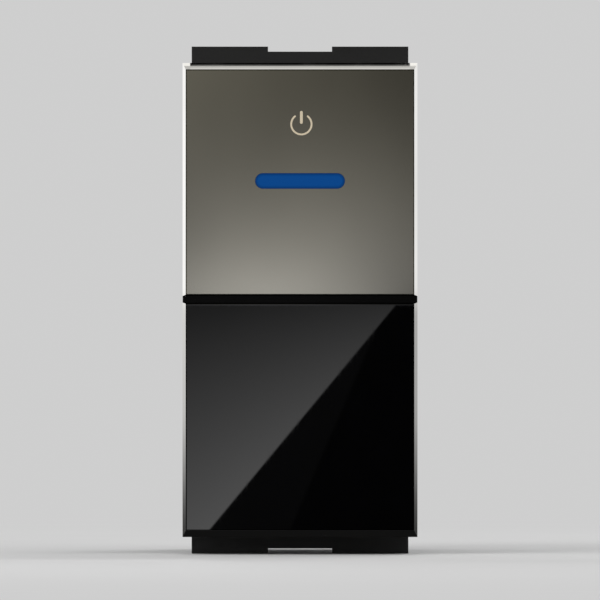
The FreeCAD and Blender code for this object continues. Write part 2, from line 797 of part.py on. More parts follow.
def front_carrier():
    body = piece("front_carrier")
    pad(body, "flange", "front", "skirt_back", 0, centred(0, 0, "flange_width", "flange_height"))
    pad(body, "carrier_rim", "front", "touch_back", "skirt_back",
        centred(0, 0, "2 * carrier_half_width", "2 * carrier_half_height"),
        centred(0, 0, "2 * (carrier_half_width - carrier_wall)",
                "2 * (carrier_half_height - carrier_wall)"))
    snap_top = "skirt_back - bezel_snap_offset"
    pad(body, "bezel_snaps", "front", f"{snap_top} - bezel_snap_depth", snap_top,
        *[centred(f"{side} * (carrier_half_width + (bezel_snap_proud - carrier_wall / 2) / 2)",
                  f"{end} * bezel_snap_rise",
                  "bezel_snap_proud + carrier_wall / 2", "bezel_snap_length")
          for side in SIDES for end in SIDES])
    bosses = [(f"{side} * board_screw_across", f"{side} * board_screw_rise") for side in SIDES]
    pad(body, "screw_bosses", "front", "touch_back", "skirt_back",
        *[circle(across, up, "screw_boss_diameter") for across, up in bosses])
    pocket(body, "boss_holes", "front", "touch_back", "touch_back + screw_boss_hole_depth",
           *[circle(across, up, "board_screw_shank + 2 * screw_hold") for across, up in bosses])
    pocket(body, "housing_step", "front", "housing_front", 0, centred(
        0, 0, "flange_width", "housing_height + 2 * seat_slack"))
    pocket(body, "release_notches", "front", "skirt_back", 0,
           *[centred(0, f"{end} * (flange_height - release_notch_depth) / 2",
                     "release_notch_width", "release_notch_depth") for end in SIDES])
    pocket(body, "socket_window", "front", "skirt_back", "housing_front", centred(
        0, "-connector_drop", "socket_length + 2 * window_slack", "socket_width + 2 * window_slack"))
    corners = [(side, end) for side in SIDES for end in SIDES]
    pad(body, "housing_legs", "front", "housing_front", "leg_length",
        *[centred(f"{side} * (leg_outside - leg_thickness / 2)", f"{end} * leg_rise",
                  "leg_thickness", "leg_width") for side, end in corners])
    for side, end in corners:
        middle = f"{end} * leg_rise"
        pad(body, f"leg_hook_{'l' if side < 0 else 'r'}{'d' if end < 0 else 'u'}", "top",
            f"{middle} - leg_width / 2", f"{middle} + leg_width / 2",
            polygon((f"{side} * (leg_outside - leg_thickness / 2)", "hook_start"),
                    (f"{side} * (leg_outside + hook_proud)", "hook_start"),
                    (f"{side} * (leg_outside + hook_proud)", "hook_start + hook_land"),
                    (f"{side} * leg_outside", "leg_length"),
                    (f"{side} * (leg_outside - leg_thickness / 2)", "leg_length")))
    pad(body, "press_posts", "front", "housing_front", "power_front",
        *[centred(f"{side} * press_post_across", f"{end} * press_post_rise",
                  "press_post_width", "press_post_width") for side, end in corners])


def rear_housing():
    body = piece("rear_housing")
    half_height = "housing_height / 2"
    pad(body, "housing_block", "front", "housing_front", "housing_depth",
        centred(0, 0, "housing_width", "housing_height"))
    soften(body, "Fillet", "housing_corners", "housing_corner",
           lambda edge: near(edge.BoundBox.YLength, value("housing_depth - housing_front")))
    rear = value("housing_depth")
    soften(body, "Chamfer", "housing_rear_edge", "housing_rear_bevel",
           lambda edge: near(edge.BoundBox.YMin, rear) and near(edge.BoundBox.YMax, rear))
    pocket(body, "housing_inside", "front", "housing_front", "rear_inside",
           centred(0, 0, "2 * inside_half_width", "2 * inside_half_height"))
    for end, word in zip(SIDES, ("bottom", "top")):
        box_half_width = "recess_half_width + recess_wall"
        pad(body, f"{word}_recess_box", "front", "housing_front", "recess_end + recess_wall",
            rectangle(f"-({box_half_width})", f"{end} * (recess_floor - recess_wall)",
                      box_half_width, f"{end} * (inside_half_height + housing_end_wall / 2)"))
        pocket(body, f"{word}_recess", "front", "housing_front", "recess_end",
               rectangle("-recess_half_width", f"{end} * recess_floor",
                         "recess_half_width", f"{end} * {half_height}"))
    floor_front = "cage_front - cage_slack"
    pad(body, "terminal_floor_block", "front", floor_front, "rear_inside",
        rectangle("-inside_half_width", "-inside_half_height", "inside_half_width", "terminal_floor"))
    pad(body, "terminal_partitions", "front", floor_front, "rear_inside",
        *[rectangle(f"{side} * (terminal_pitch / 2 - partition_thickness / 2)", "terminal_floor",
                    f"{side} * (terminal_pitch / 2 + partition_thickness / 2)", "cage_top")
          for side in SIDES])
    pad(body, "board_ribs", "front", "power_back", "power_back + board_rib_length",
        *[rectangle(f"{side} * (inside_half_width - board_rib_proud)",
                    f"{end} * board_rib_rise - board_rib_width / 2",
                    f"{side} * (inside_half_width + housing_side_wall / 2)",
                    f"{end} * board_rib_rise + board_rib_width / 2")
          for side in SIDES for end in SIDES])
    pocket(body, "leg_windows", "front", "hook_start - snap_slack", "leg_length + snap_slack",
           *[rectangle(f"{side} * inside_half_width",
                       f"{end} * leg_rise - leg_width / 2 - snap_slack",
                       f"{side} * housing_width / 2",
                       f"{end} * leg_rise + leg_width / 2 + snap_slack")
             for side in SIDES for end in SIDES])
    pocket(body, "marking_field", "front", "housing_depth - marking_depth", "housing_depth",
           centred(0, "marking_rise", "marking_width", "marking_height"))
    pocket(body, "vents", "top", "inside_half_height", half_height,
           *[centred(f"{step - (VENT_COUNT - 1) / 2} * vent_pitch", "vent_setback + vent_length / 2",
                     "vent_width", "vent_length") for step in range(VENT_COUNT)])
    places = [f"{step} * terminal_pitch" for step in TERMINALS.values()]
    pocket(body, "wire_entries", "front", "rear_inside", "housing_depth",
           *[centred(across, "entry_middle", "entry_width", "entry_height") for across in places])
    pocket(body, "screw_access", "top", f"-{half_height}", "terminal_floor",
           *[circle(across, "clamp_axis", "clamp_screw_diameter + 2 * clamp_access_slack")
             for across in places])
    foot = value("entry_middle - entry_height / 2")
    top = value("entry_middle + entry_height / 2")

    def round_an_entry(edge):
        box = edge.BoundBox
        flat = near(box.YMin, rear) and near(box.YMax, rear)
        return flat and box.ZMin > foot - CLOSE and box.ZMax < top + CLOSE
    soften(body, "Chamfer", "entry_bevels", "entry_bevel", round_an_entry)


def snap_latch(label, turned):
    """A springy arm in the housing's recess, with a hook that catches behind the frame."""
    body = piece(label)
    half = "latch_width / 2"
    hook_top = "latch_outside + latch_hook_rise"
    pad(body, f"{label}_arm", "side", f"-{half}", half, polygon(
        ("latch_tip", "latch_inside"), ("latch_pivot", "latch_inside"),
        ("latch_pivot", "latch_outside"),
        ("latch_catch + latch_hook_land + latch_ramp", "latch_outside"),
        ("latch_catch + latch_hook_land", hook_top), ("latch_catch", hook_top),
        ("latch_catch", "latch_outside"), ("latch_tip", "latch_outside")))
    pad(body, f"{label}_root", "side", f"-{half}", half,
        circle("latch_pivot", "(latch_inside + latch_outside) / 2", "latch_thickness"))
    if turned:
        body.Placement = FreeCAD.Placement(Vector(0, 0, 0), Vector(0, 1, 0), 180)


# Terminals

def terminal(side, step):
    """A cage with its clamp saddle, screw and strip, moved across to its own place."""
    cage = piece(f"terminal_cage_{side}")
    pad(cage, f"cage_block_{side}", "front", "cage_front", "cage_back",
        rectangle("-cage_width / 2", "cage_foot", "cage_width / 2", "cage_top"))
    pocket(cage, f"cage_tunnel_{side}", "front", "cage_front + cage_wall", "cage_back",
           centred(0, "(tunnel_foot + tunnel_top) / 2", "cage_width - 2 * cage_wall", "tunnel_height"))
    pocket(cage, f"cage_thread_{side}", "top", "cage_foot", "tunnel_foot",
           circle(0, "clamp_axis", "clamp_screw_diameter + 2 * clamp_screw_slack"))
    saddle = piece(f"clamp_saddle_{side}")
    half = "cage_width / 2 - cage_wall - saddle_slack"
    pad(saddle, f"saddle_block_{side}", "top", "saddle_foot", "saddle_top",
        rectangle(f"-({half})", "cage_front + cage_wall + saddle_slack",
                  half, "cage_back - saddle_slack"))
    screw = piece(f"clamp_screw_{side}")
    screw_foot = "clamp_screw_top - clamp_screw_length"
    pad(screw, f"screw_shank_{side}", "top", screw_foot, "clamp_screw_top",
        circle(0, "clamp_axis", "clamp_screw_diameter"))
    pocket(screw, f"screw_slot_{side}", "top", screw_foot, f"{screw_foot} + clamp_slot_depth",
           centred(0, "clamp_axis", "clamp_screw_diameter + clamp_slot_width", "clamp_slot_width"))
    strip = piece(f"terminal_strip_{side}")
    pad(strip, f"strip_bar_{side}", "front", "lead_front", "cage_back",
        rectangle("-strip_width / 2", "cage_top", "strip_width / 2", "cage_top + strip_thickness"))
    for body in (cage, saddle, screw, strip):
        body.setExpression("Placement.Base.x", formula(f"{step} * terminal_pitch"))


# Power board and relay

def lead_places(name):
    """Where the two leads of a part stand on the board."""
    along_x, along_z = LEADED_PARTS[name]
    return [(f"{name}_x + {side * along_x} * {name}_leads / 2",
             f"{name}_z + {side * along_z} * {name}_leads / 2") for side in SIDES]


def add_leads(body, name, deepest):
    pad(body, f"{name}_lead_pair", "front", "lead_front", deepest,
        *[circle(across, up, "lead_diameter") for across, up in lead_places(name)])


def relay_pin_places():
    return [(f"relay_x + {side} * relay_pin_across", f"relay_z + {end} * relay_pin_reach")
            for side in SIDES for end in SIDES]


def power_board():
    board = piece("power_board")
    pad(board, "power_board_sheet", "front", "power_front", "power_back",
        centred(0, 0, "2 * power_half_width", "2 * power_half_height"))
    pocket(board, "lead_holes", "front", "power_front", "power_back",
           *[circle(across, up, "lead_diameter + 2 * lead_slack")
             for name in LEADED_PARTS for across, up in lead_places(name)])
    pocket(board, "relay_pin_holes", "front", "power_front", "power_back",
           *[circle(across, up, "relay_pin_diameter + 2 * lead_slack")
             for across, up in relay_pin_places()])
    pocket(board, "strip_slots", "front", "power_front", "power_back",
           *[centred(f"{step} * terminal_pitch", "cage_top + strip_thickness / 2",
                     "strip_width + 2 * lead_slack", "strip_thickness + 2 * lead_slack")
             for step in TERMINALS.values()])


def film_capacitor():
    body = piece("film_capacitor")
    back = "power_back + film_capacitor_height"
    pad(body, "film_capacitor_case", "front", "power_back", back, centred(
        "film_capacitor_x", "film_capacitor_z", "film_capacitor_width", "film_capacitor_length"))
    soften(body, "Fillet", "film_capacitor_rounding", "film_capacitor_corner",
           lambda edge: edge.BoundBox.YMax > value(back) - CLOSE)
    add_leads(body, "film_capacitor", "power_back + film_capacitor_corner")


def bulk_capacitor():
    body = piece("bulk_capacitor")
    centre = ("bulk_capacitor_x", "bulk_capacitor_z")
    pad(body, "bulk_capacitor_can", "front", "power_back", "power_back + bulk_capacitor_height",
        circle(*centre, "bulk_capacitor_diameter"))
    bead_front = "power_back + bulk_capacitor_bead_rise"
    pocket(body, "bulk_capacitor_bead", "front", bead_front, f"{bead_front} + bulk_capacitor_bead_height",
           circle(*centre, "bulk_capacitor_diameter"),
           circle(*centre, "bulk_capacitor_diameter - 2 * bulk_capacitor_bead_depth"))
    add_leads(body, "bulk_capacitor", bead_front)


def varistor():
    body = piece("varistor")
    middle = "power_back + varistor_standoff + varistor_diameter / 2"
    half = "varistor_thickness / 2"
    pad(body, "varistor_disc", "top", f"varistor_z - {half}", f"varistor_z + {half}",
        circle("varistor_x", middle, "varistor_diameter"))
    add_leads(body, "varistor", middle)


def fuse():
    body = piece("fuse")
    pad(body, "fuse_case", "front", "power_back", "power_back + fuse_height",
        centred("fuse_x", "fuse_z", "fuse_length", "fuse_width"))
    add_leads(body, "fuse", "power_back + lead_diameter")


def choke():
    body = piece("choke")
    centre = ("choke_x", "choke_z")
    back = "power_back + choke_height"
    pad(body, "choke_waist_bar", "front", "power_back", back, circle(*centre, "choke_waist"))
    pad(body, "choke_foot_rim", "front", "power_back", "power_back + choke_rim",
        circle(*centre, "choke_diameter"))
    pad(body, "choke_top_rim", "front", f"{back} - choke_rim", back, circle(*centre, "choke_diameter"))
    add_leads(body, "choke", "power_back + choke_rim / 2")


def flat_chip(name, feet):
    """A flat moulded part on short metal feet, which stick out above and below it."""
    body = piece(name)
    pad(body, f"{name}_case", "front", "power_back", f"power_back + {name}_height",
        centred(f"{name}_x", f"{name}_z", f"{name}_length", f"{name}_width"))
    spread = f"({name}_length - 2 * foot_width)"
    pad(body, f"{name}_feet", "front", "power_back", "power_back + foot_thickness",
        *[centred(f"{name}_x + {share} * {spread} / 2", f"{name}_z",
                  "foot_width", f"{name}_width + 2 * foot_length") for share in feet])


def relay_case():
    base = piece("relay_base")
    pad(base, "relay_base_block", "front", "power_back", "relay_base_back", centred(
        "relay_x", "relay_z", "2 * relay_inside_half_width", "2 * relay_inside_half_length"))
    pocket(base, "relay_base_holes", "front", "power_back", "relay_base_back",
           *[circle(across, up, "relay_pin_diameter + 2 * relay_slack")
             for across, up in relay_pin_places()])
    cover = piece("relay_cover")
    pad(cover, "relay_cover_block", "front", "power_back", "power_back + relay_height",
        centred("relay_x", "relay_z", "relay_width", "relay_length"))
    pocket(cover, "relay_cover_inside", "front", "power_back", "power_back + relay_height - relay_wall",
           centred("relay_x", "relay_z", "relay_width - 2 * relay_wall", "relay_length - 2 * relay_wall"))
    pins = piece("relay_pins")
    pad(pins, "relay_pin_set", "front", "lead_front", "relay_base_back",
        *[circle(across, up, "relay_pin_diameter") for across, up in relay_pin_places()])


def relay_magnet():
    yoke = piece("relay_yoke")
    pad(yoke, "yoke_angle", "side", "relay_x - yoke_width / 2", "relay_x + yoke_width / 2", polygon(
        ("relay_base_back", "yoke_outside"), ("yoke_top", "yoke_outside"), ("yoke_top", "yoke_inside"),
        ("core_foot", "yoke_inside"), ("core_foot", "yoke_outside + yoke_length"),
        ("relay_base_back", "yoke_outside + yoke_length")))
    centre = ("relay_x", "core_z")
    core = piece("relay_core")
    pad(core, "core_bar", "front", "core_foot", "pole_face", circle(*centre, "core_diameter"))
    pad(core, "core_pole", "front", "pole_face - pole_thickness", "pole_face",
        circle(*centre, "pole_diameter"))
    bobbin = piece("relay_bobbin")
    pad(bobbin, "bobbin_tube_bar", "front", "bobbin_front", "bobbin_back", circle(*centre, "bobbin_tube"))
    pad(bobbin, "bobbin_front_flange", "front", "bobbin_front", "winding_front",
        centred(*centre, "bobbin_flange", "bobbin_flange"))
    pad(bobbin, "bobbin_back_flange", "front", "winding_back", "bobbin_back",
        centred(*centre, "bobbin_flange", "bobbin_flange"))
    pocket(bobbin, "bobbin_bore", "front", "bobbin_front", "bobbin_back",
           circle(*centre, "core_diameter + 2 * bobbin_slack"))
    coil = piece("relay_coil")
    pad(coil, "coil_ring", "front", "winding_front", "winding_back",
        circle(*centre, "coil_diameter"), circle(*centre, "bobbin_tube + 2 * bobbin_slack"))


def relay_contacts():
    armature = piece("relay_armature")
    pad(armature, "armature_plate", "side", "relay_x - yoke_width / 2", "relay_x + yoke_width / 2",
        rectangle("armature_front", "tail_outside", "armature_back", "tail_outside + armature_length"))
    pad(armature, "armature_tail", "side", "relay_x - tail_width / 2", "relay_x + tail_width / 2",
        rectangle("tail_front", "tail_outside", "armature_back", "tail_inside"))
    moving = piece("relay_moving_contact")
    pad(moving, "moving_leaf", "side", "relay_x - leaf_width / 2", "relay_x + leaf_width / 2",
        rectangle("leaf_front", "leaf_outside", "leaf_front + leaf_length", "tail_outside"))
    pad(moving, "moving_button", "top", "contact_tip", "leaf_outside",
        circle("relay_x", "contact_y", "contact_diameter"))
    fixed = piece("relay_fixed_contact")
    pad(fixed, "fixed_blade", "side", "relay_x - leaf_width / 2", "relay_x + leaf_width / 2",
        rectangle("relay_base_back", "fixed_outside",
                  "contact_y + contact_diameter / 2", "fixed_inside"))
    pad(fixed, "fixed_button", "top", "fixed_inside", "fixed_tip",
        circle("relay_x", "contact_y", "contact_diameter"))
    spring = piece("relay_return_spring")
    half = "return_spring_width / 2"
    root = "core_foot"
    bend = f"{root} + return_spring_length"
    leaf = "yoke_outside - return_spring_thickness"
    free_end = "tail_inside + lead_slack"
    pad(spring, "return_leaf", "side", f"relay_x - {half}", f"relay_x + {half}", polygon(
        (root, "yoke_outside"), (bend, "yoke_outside"), (bend, leaf),
        (f"{bend} - return_spring_reach", free_end),
        (f"{bend} - return_spring_reach - return_spring_thickness",
         f"{free_end} + return_spring_thickness"),
        (f"{bend} - return_spring_bend", leaf), (root, leaf)))


polished_bezel()
plates()
divider_bar()
adhesives()
indicator()
touch_spring("upper_touch_spring", "symbol_rise")
touch_spring("lower_touch_spring", "-lower_spring_drop")
board_screws()
touch_board()
plug_and_socket()
front_carrier()
rear_housing()
snap_latch("top_latch", turned=False)
snap_latch("bottom_latch", turned=True)
for terminal_side, terminal_step in TERMINALS.items():
    terminal(terminal_side, terminal_step)
power_board()
film_capacitor()
bulk_capacitor()
varistor()
fuse()
choke()
flat_chip("bridge_rectifier", SIDES)
flat_chip("regulator", (-1, 0, 1))
relay_case()
relay_magnet()
relay_contacts()

doc.recompute()

for thing in doc.Objects:
    if "Invalid" in thing.State or "Error" in thing.State:
        raise RuntimeError(f"{thing.Label} failed: {thing.State}")
for body in pieces:
    if body.Shape.isNull() or not body.Shape.isValid():
        raise RuntimeError(f"{body.Label} has no valid shape")
    features = [f for f in body.Group if f.isDerivedFrom("PartDesign::Feature")]
    for before, after in zip(features, features[1:]):
        change = after.Shape.Volume - before.Shape.Volume
        cuts = after.TypeId in ("PartDesign::Pocket", "PartDesign::Chamfer", "PartDesign::Fillet")
        if near(change, 0) or (change > 0) == cuts:
            raise RuntimeError(f"{after.Label} changes nothing: {change}")

os.makedirs("parts", exist_ok=True)
for body in pieces:
    body.Shape.exportStep(f"parts/{body.Label}.step")
    print(body.Label, len(body.Shape.Solids), round(body.Shape.Volume, 2))
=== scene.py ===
"""Modular touch switch: fine pieces, finishes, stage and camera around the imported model.

Places are in metres in the model's own frame: the front faces -Y, +X is right and +Z is up.
"""

import math

import bmesh
import bpy
import numpy as np
from bpy.props import FloatProperty, FloatVectorProperty, PointerProperty
from bpy.types import Operator, Panel, PropertyGroup
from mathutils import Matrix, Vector


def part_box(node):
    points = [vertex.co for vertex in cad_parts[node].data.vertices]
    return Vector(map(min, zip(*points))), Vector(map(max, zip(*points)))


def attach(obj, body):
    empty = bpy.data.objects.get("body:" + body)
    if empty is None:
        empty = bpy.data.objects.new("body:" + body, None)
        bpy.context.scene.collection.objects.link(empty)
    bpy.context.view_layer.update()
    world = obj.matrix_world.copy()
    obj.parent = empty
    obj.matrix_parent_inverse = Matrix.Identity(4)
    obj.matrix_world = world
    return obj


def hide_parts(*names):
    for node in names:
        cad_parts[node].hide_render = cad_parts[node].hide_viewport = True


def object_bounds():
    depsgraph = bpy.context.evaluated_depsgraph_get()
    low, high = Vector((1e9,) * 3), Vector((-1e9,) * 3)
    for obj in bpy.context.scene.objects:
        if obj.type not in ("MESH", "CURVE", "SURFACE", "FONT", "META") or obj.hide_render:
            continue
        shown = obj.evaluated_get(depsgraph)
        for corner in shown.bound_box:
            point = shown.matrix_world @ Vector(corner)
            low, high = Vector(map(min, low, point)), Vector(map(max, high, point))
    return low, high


bl_info = {
    "name": "Modular touch switch",
    "version": (1, 0, 0),
    "blender": (4, 5, 0),
    "location": "View3D > Sidebar > Touch Switch",
    "description": "Fine pieces, finishes and stage for a modular touch switch",
    "category": "Object",
}

MM = 0.001
SIDES = ("left", "centre", "right")
UP, BACK = (0, 0, 1), (0, 1, 0)
WHITE = (1, 1, 1)

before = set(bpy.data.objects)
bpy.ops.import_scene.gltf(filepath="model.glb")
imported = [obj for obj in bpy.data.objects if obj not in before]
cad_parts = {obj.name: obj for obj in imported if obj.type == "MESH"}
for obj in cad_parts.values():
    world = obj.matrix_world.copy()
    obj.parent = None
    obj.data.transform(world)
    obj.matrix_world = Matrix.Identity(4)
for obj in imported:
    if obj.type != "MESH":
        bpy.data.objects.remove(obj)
cad_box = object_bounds()


def corner(node, end):
    """The lowest (end 0) or highest (end 1) corner of a node of the model."""
    return np.array(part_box(node)[end], float)


def middle(node):
    return (corner(node, 0) + corner(node, 1)) / 2


def extent(node):
    return corner(node, 1) - corner(node, 0)


def vertices(node):
    """The places of all vertices of a node of the model, one to a row."""
    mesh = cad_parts[node].data
    points = np.empty(len(mesh.vertices) * 3)
    mesh.vertices.foreach_get("co", points)
    return points.reshape(-1, 3)


# Surfaces


def new_object(name, data):
    """A new object of the scene with the given data."""
    made = bpy.data.objects.new(name, data)
    bpy.context.scene.collection.objects.link(made)
    return made


def add_mesh(name, points, faces):
    """A closed mesh object: doubled points are merged and all faces are turned outwards."""
    mesh = bpy.data.meshes.new(name)
    mesh.from_pydata(np.asarray(points, float).reshape(-1, 3), [], faces)
    work = bmesh.new()
    work.from_mesh(mesh)
    bmesh.ops.remove_doubles(work, verts=work.verts, dist=1e-7)
    bmesh.ops.dissolve_degenerate(work, edges=work.edges, dist=1e-8)
    bmesh.ops.recalc_face_normals(work, faces=work.faces)
    work.to_mesh(mesh)
    work.free()
    return new_object(name, mesh)


def grid_faces(rows, columns, ring=True):
    """Quads between the neighbouring points of a grid. In a ring the last column meets the
    first."""
    row = np.arange(rows - 1)
    column = np.arange(columns if ring else columns - 1)
    a, b = np.meshgrid(row, column, indexing="ij")
    right = (b + 1) % columns
    quads = np.stack([a * columns + b, a * columns + right,
                      (a + 1) * columns + right, (a + 1) * columns + b], axis=-1)
    return quads.reshape(-1, 4).tolist()


def together(parts):
    """Several (points, faces) as one, with the faces' numbers moved up."""
    points, faces, start = [], [], 0
    for part_points, part_faces in parts:
        part_points = np.asarray(part_points, float).reshape(-1, 3)
        points.append(part_points)
        faces += [[index + start for index in face] for face in part_faces]
        start += len(part_points)
    return np.concatenate(points), faces


def square_to(along):
    """Two directions that stand square to each other and to one of the axes."""
    first = np.roll(np.asarray(along, float), 1)
    return first, np.cross(along, first)


def turned(profile, centre, along, around=64):
    """A turned surface: each profile row (radius r, height h) becomes the circle
    centre + h * along + r * (cos t * u + sin t * v), with u and v square to along."""
    radius, height = np.asarray(profile, float).T
    turn = np.linspace(0, 2 * np.pi, around, endpoint=False)
    u, v = square_to(along)
    ring = np.cos(turn)[:, None] * u + np.sin(turn)[:, None] * v
    points = (np.asarray(centre, float) + height[:, None, None] * np.asarray(along, float)
              + radius[:, None, None] * ring[None])
    return points, grid_faces(len(radius), around)


def tube(path, radius, around=12):
    """A round wire: each path point p becomes the circle p + radius * (cos t * a + sin t * b),
    with a and b square to the path. Both ends close in a point."""
    path = np.asarray(path, float)
    ahead = np.gradient(path, axis=0)
    ahead /= np.linalg.norm(ahead, axis=1)[:, None]
    slanting = np.array([0.3, 0.1, 0.95])
    side = np.cross(ahead, slanting)
    side /= np.linalg.norm(side, axis=1)[:, None]
    up = np.cross(side, ahead)
    turn = np.linspace(0, 2 * np.pi, around, endpoint=False)
    ring = np.cos(turn)[:, None, None] * side + np.sin(turn)[:, None, None] * up
    rings = path[:, None] + radius * ring.transpose(1, 0, 2)
    ends = [np.repeat(path[k][None, None], around, axis=1) for k in (0, -1)]
    points = np.concatenate([ends[0], rings, ends[1]])
    return points, grid_faces(len(points), around)


def rounded_bar(path, half_width, low, high, rounding=10):
    """A flat bar with round ends along a path in the front plane, between two depths.
    At run s along the path the edges lie at +-sqrt(w^2 - (w - e)^2) across it, where w is
    half_width and e is the way to the nearer end, or w if that is less. The low edge is
    rounded off over a third of the bar's thickness."""
    path = np.asarray(path, float)
    run = np.concatenate([[0], np.cumsum(np.linalg.norm(np.diff(path, axis=0), axis=1))])
    bend = half_width * (1 - np.cos(np.linspace(0, np.pi / 2, rounding)))
    inner = run[(run > half_width) & (run < run[-1] - half_width)]
    where = np.concatenate([bend, inner, run[-1] - bend[::-1]])
    spots = np.stack([np.interp(where, run, path[:, k]) for k in (0, 1)], axis=-1)
    ahead = np.gradient(spots, where, axis=0)
    ahead /= np.linalg.norm(ahead, axis=1)[:, None]
    across = np.stack([-ahead[:, 1], ahead[:, 0]], axis=-1)
    from_end = np.minimum(np.minimum(where, run[-1] - where), half_width)
    reach = np.sqrt(half_width ** 2 - (half_width - from_end) ** 2)[:, None]
    lift = (high - low) / 3
    slim = 1 - lift / (2 * half_width)
    rows = []
    for side, share, depth in ((1, 1, high), (1, 1, low + lift), (1, slim, low),
                               (-1, slim, low), (-1, 1, low + lift), (-1, 1, high)):
        edge = spots + side * share * reach * across
        rows.append(np.stack([edge[:, 0], np.full(len(edge), depth), edge[:, 1]], axis=-1))
    return np.stack(rows, axis=1), grid_faces(len(where), len(rows))


def slotted_screw(centre, along, face_radius, slot, profile, thread, columns=25, rows=9):
    """A screw with a straight slot, from the slotted face inwards.
    The face is ruled by straight columns x = R sin(a) with y = v * sqrt(R^2 - x^2), and a
    column sinks to the slot's depth where |x| is under half the slot's width. The side is a
    grid over the face's rim and the profile's (depth, radius) rows; along the thread the
    radius loses thread_depth * |2 frac(depth / pitch - turn) - 1|.
    The slot is (width, depth), the thread is (pitch, depth, where it starts, where it ends)."""
    slot_width, slot_depth = slot
    pitch, thread_depth, thread_start, thread_end = thread
    half = slot_width / 2
    clear_of_slot = half * 1.2
    swing = np.sin(np.linspace(-np.pi / 2, np.pi / 2, columns)) * face_radius
    swing = swing[np.abs(swing) > clear_of_slot]
    first = int(np.sum(swing < 0))
    x = np.concatenate([swing[:first], [-half, -half, 0, half, half], swing[first:]])
    sunk = np.zeros(len(x))
    sunk[first + 1:first + 4] = slot_depth
    reach = np.sqrt(np.maximum(face_radius ** 2 - x ** 2, 0))
    v = np.linspace(-1, 1, rows)
    face = np.stack(np.broadcast_arrays(x[:, None], reach[:, None] * v, sunk[:, None]), axis=-1)
    rim = np.concatenate([face[:, -1], face[::-1, 0]])
    depth, radius = np.asarray(profile, float).T
    turn = np.arctan2(rim[:, 1], rim[:, 0])
    depth_grid = np.maximum(depth[:, None], rim[None, :, 2])
    phase = (depth_grid / pitch - turn / (2 * np.pi)) % 1
    fade = (np.clip((depth_grid - thread_start) / pitch, 0, 1)
            * np.clip((thread_end - depth_grid) / pitch, 0, 1))
    size = np.maximum(radius[:, None] - thread_depth * np.abs(2 * phase - 1) * fade, 0)
    side = np.stack([size * np.cos(turn), size * np.sin(turn), depth_grid], axis=-1)
    side = np.concatenate([rim[None], side])
    points, faces = together([(face, grid_faces(*face.shape[:2], ring=False)),
                              (side, grid_faces(*side.shape[:2]))])
    return points @ np.stack([*square_to(along), along]) + np.asarray(centre, float), faces


def wound(node, bore, outer, low, high, wire, bulge=0.45, steps=4):
    """A winding of round wire about a node's middle line: from low to high the outer radius
    falls by bulge * wire * (1 - |sin(pi h / wire)|), and the inside is a plain bore."""
    turns = round((high - low) / wire)
    height = np.linspace(low, high, turns * steps + 1)
    share = (height - low) / (high - low) * turns
    radius = outer - bulge * wire * (1 - np.abs(np.sin(np.pi * share)))
    profile = [(bore, low), *zip(radius, height), (bore, high), (bore, low)]
    return turned(profile, middle(node) * (1, 0, 1), BACK, around=56)


def solder_cone(tip, half, foot, rise, fillet, power=1.6, rows=9, around=20):
    """A solder joint round a lead's end, on the board's front. At share s of its height the
    half widths are the lead's own plus fillet * (1 - s)^power, and both ends close flat."""
    share = np.linspace(0, 1, rows)
    fall = fillet * (1 - share) ** power
    closed = np.concatenate([[0], np.ones(len(share)), [0]])
    wide, high = (closed * np.pad(size + fall, 1, mode="edge") for size in half)
    turn = np.linspace(0, 2 * np.pi, around, endpoint=False)
    depth = foot - rise * np.pad(share, 1, mode="edge")
    points = np.stack(np.broadcast_arrays(
        tip[0] + wide[:, None] * np.cos(turn), depth[:, None],
        tip[1] + high[:, None] * np.sin(turn)), axis=-1)
    return points, grid_faces(*points.shape[:2])


def lead_ends(node, apart=2.8 * MM):
    """The centres and half widths, across and up, of a node's ends that reach furthest to the
    front. Where they spread by more than apart, each side of the middle is an end of its own."""
    points = vertices(node)
    tips = points[points[:, 1] < points[:, 1].min() + 0.01 * MM][:, [0, 2]]
    low, high = tips.min(axis=0), tips.max(axis=0)
    side = np.sign(tips - (low + high) / 2) * (high - low > apart)
    ends = []
    for one in np.unique(side, axis=0):
        own = tips[(side == one).all(axis=1)]
        ends.append(((own.min(axis=0) + own.max(axis=0)) / 2, np.ptp(own, axis=0) / 2))
    return ends


def wear(piece, material):
    """Give the piece, or the model's node of that name, one material."""
    if isinstance(piece, str):
        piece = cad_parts[piece]
    piece.data.materials.clear()
    piece.data.materials.append(material)


def new_piece(name, surface, material, body="root", angle=None, instead=None):
    """A new piece that wears the material, rides on the body and may stand instead of a node.
    With an angle it is smooth, but for the edges that are sharper than that."""
    piece = add_mesh(name, *surface)
    if angle:
        piece.data.shade_smooth()
        piece.data.set_sharp_from_angle(angle=math.radians(angle))
    wear(piece, material)
    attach(piece, body)
    if instead:
        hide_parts(instead)


# Finishes


def arithmetic(operation, swapped=False):
    """An operator that works with one arithmetic node, its two terms swapped if need be."""
    def work(self, other=None):
        terms = (other, self) if swapped else (self, other)
        return self.maths(operation, *(term for term in terms if term is not None))
    return work


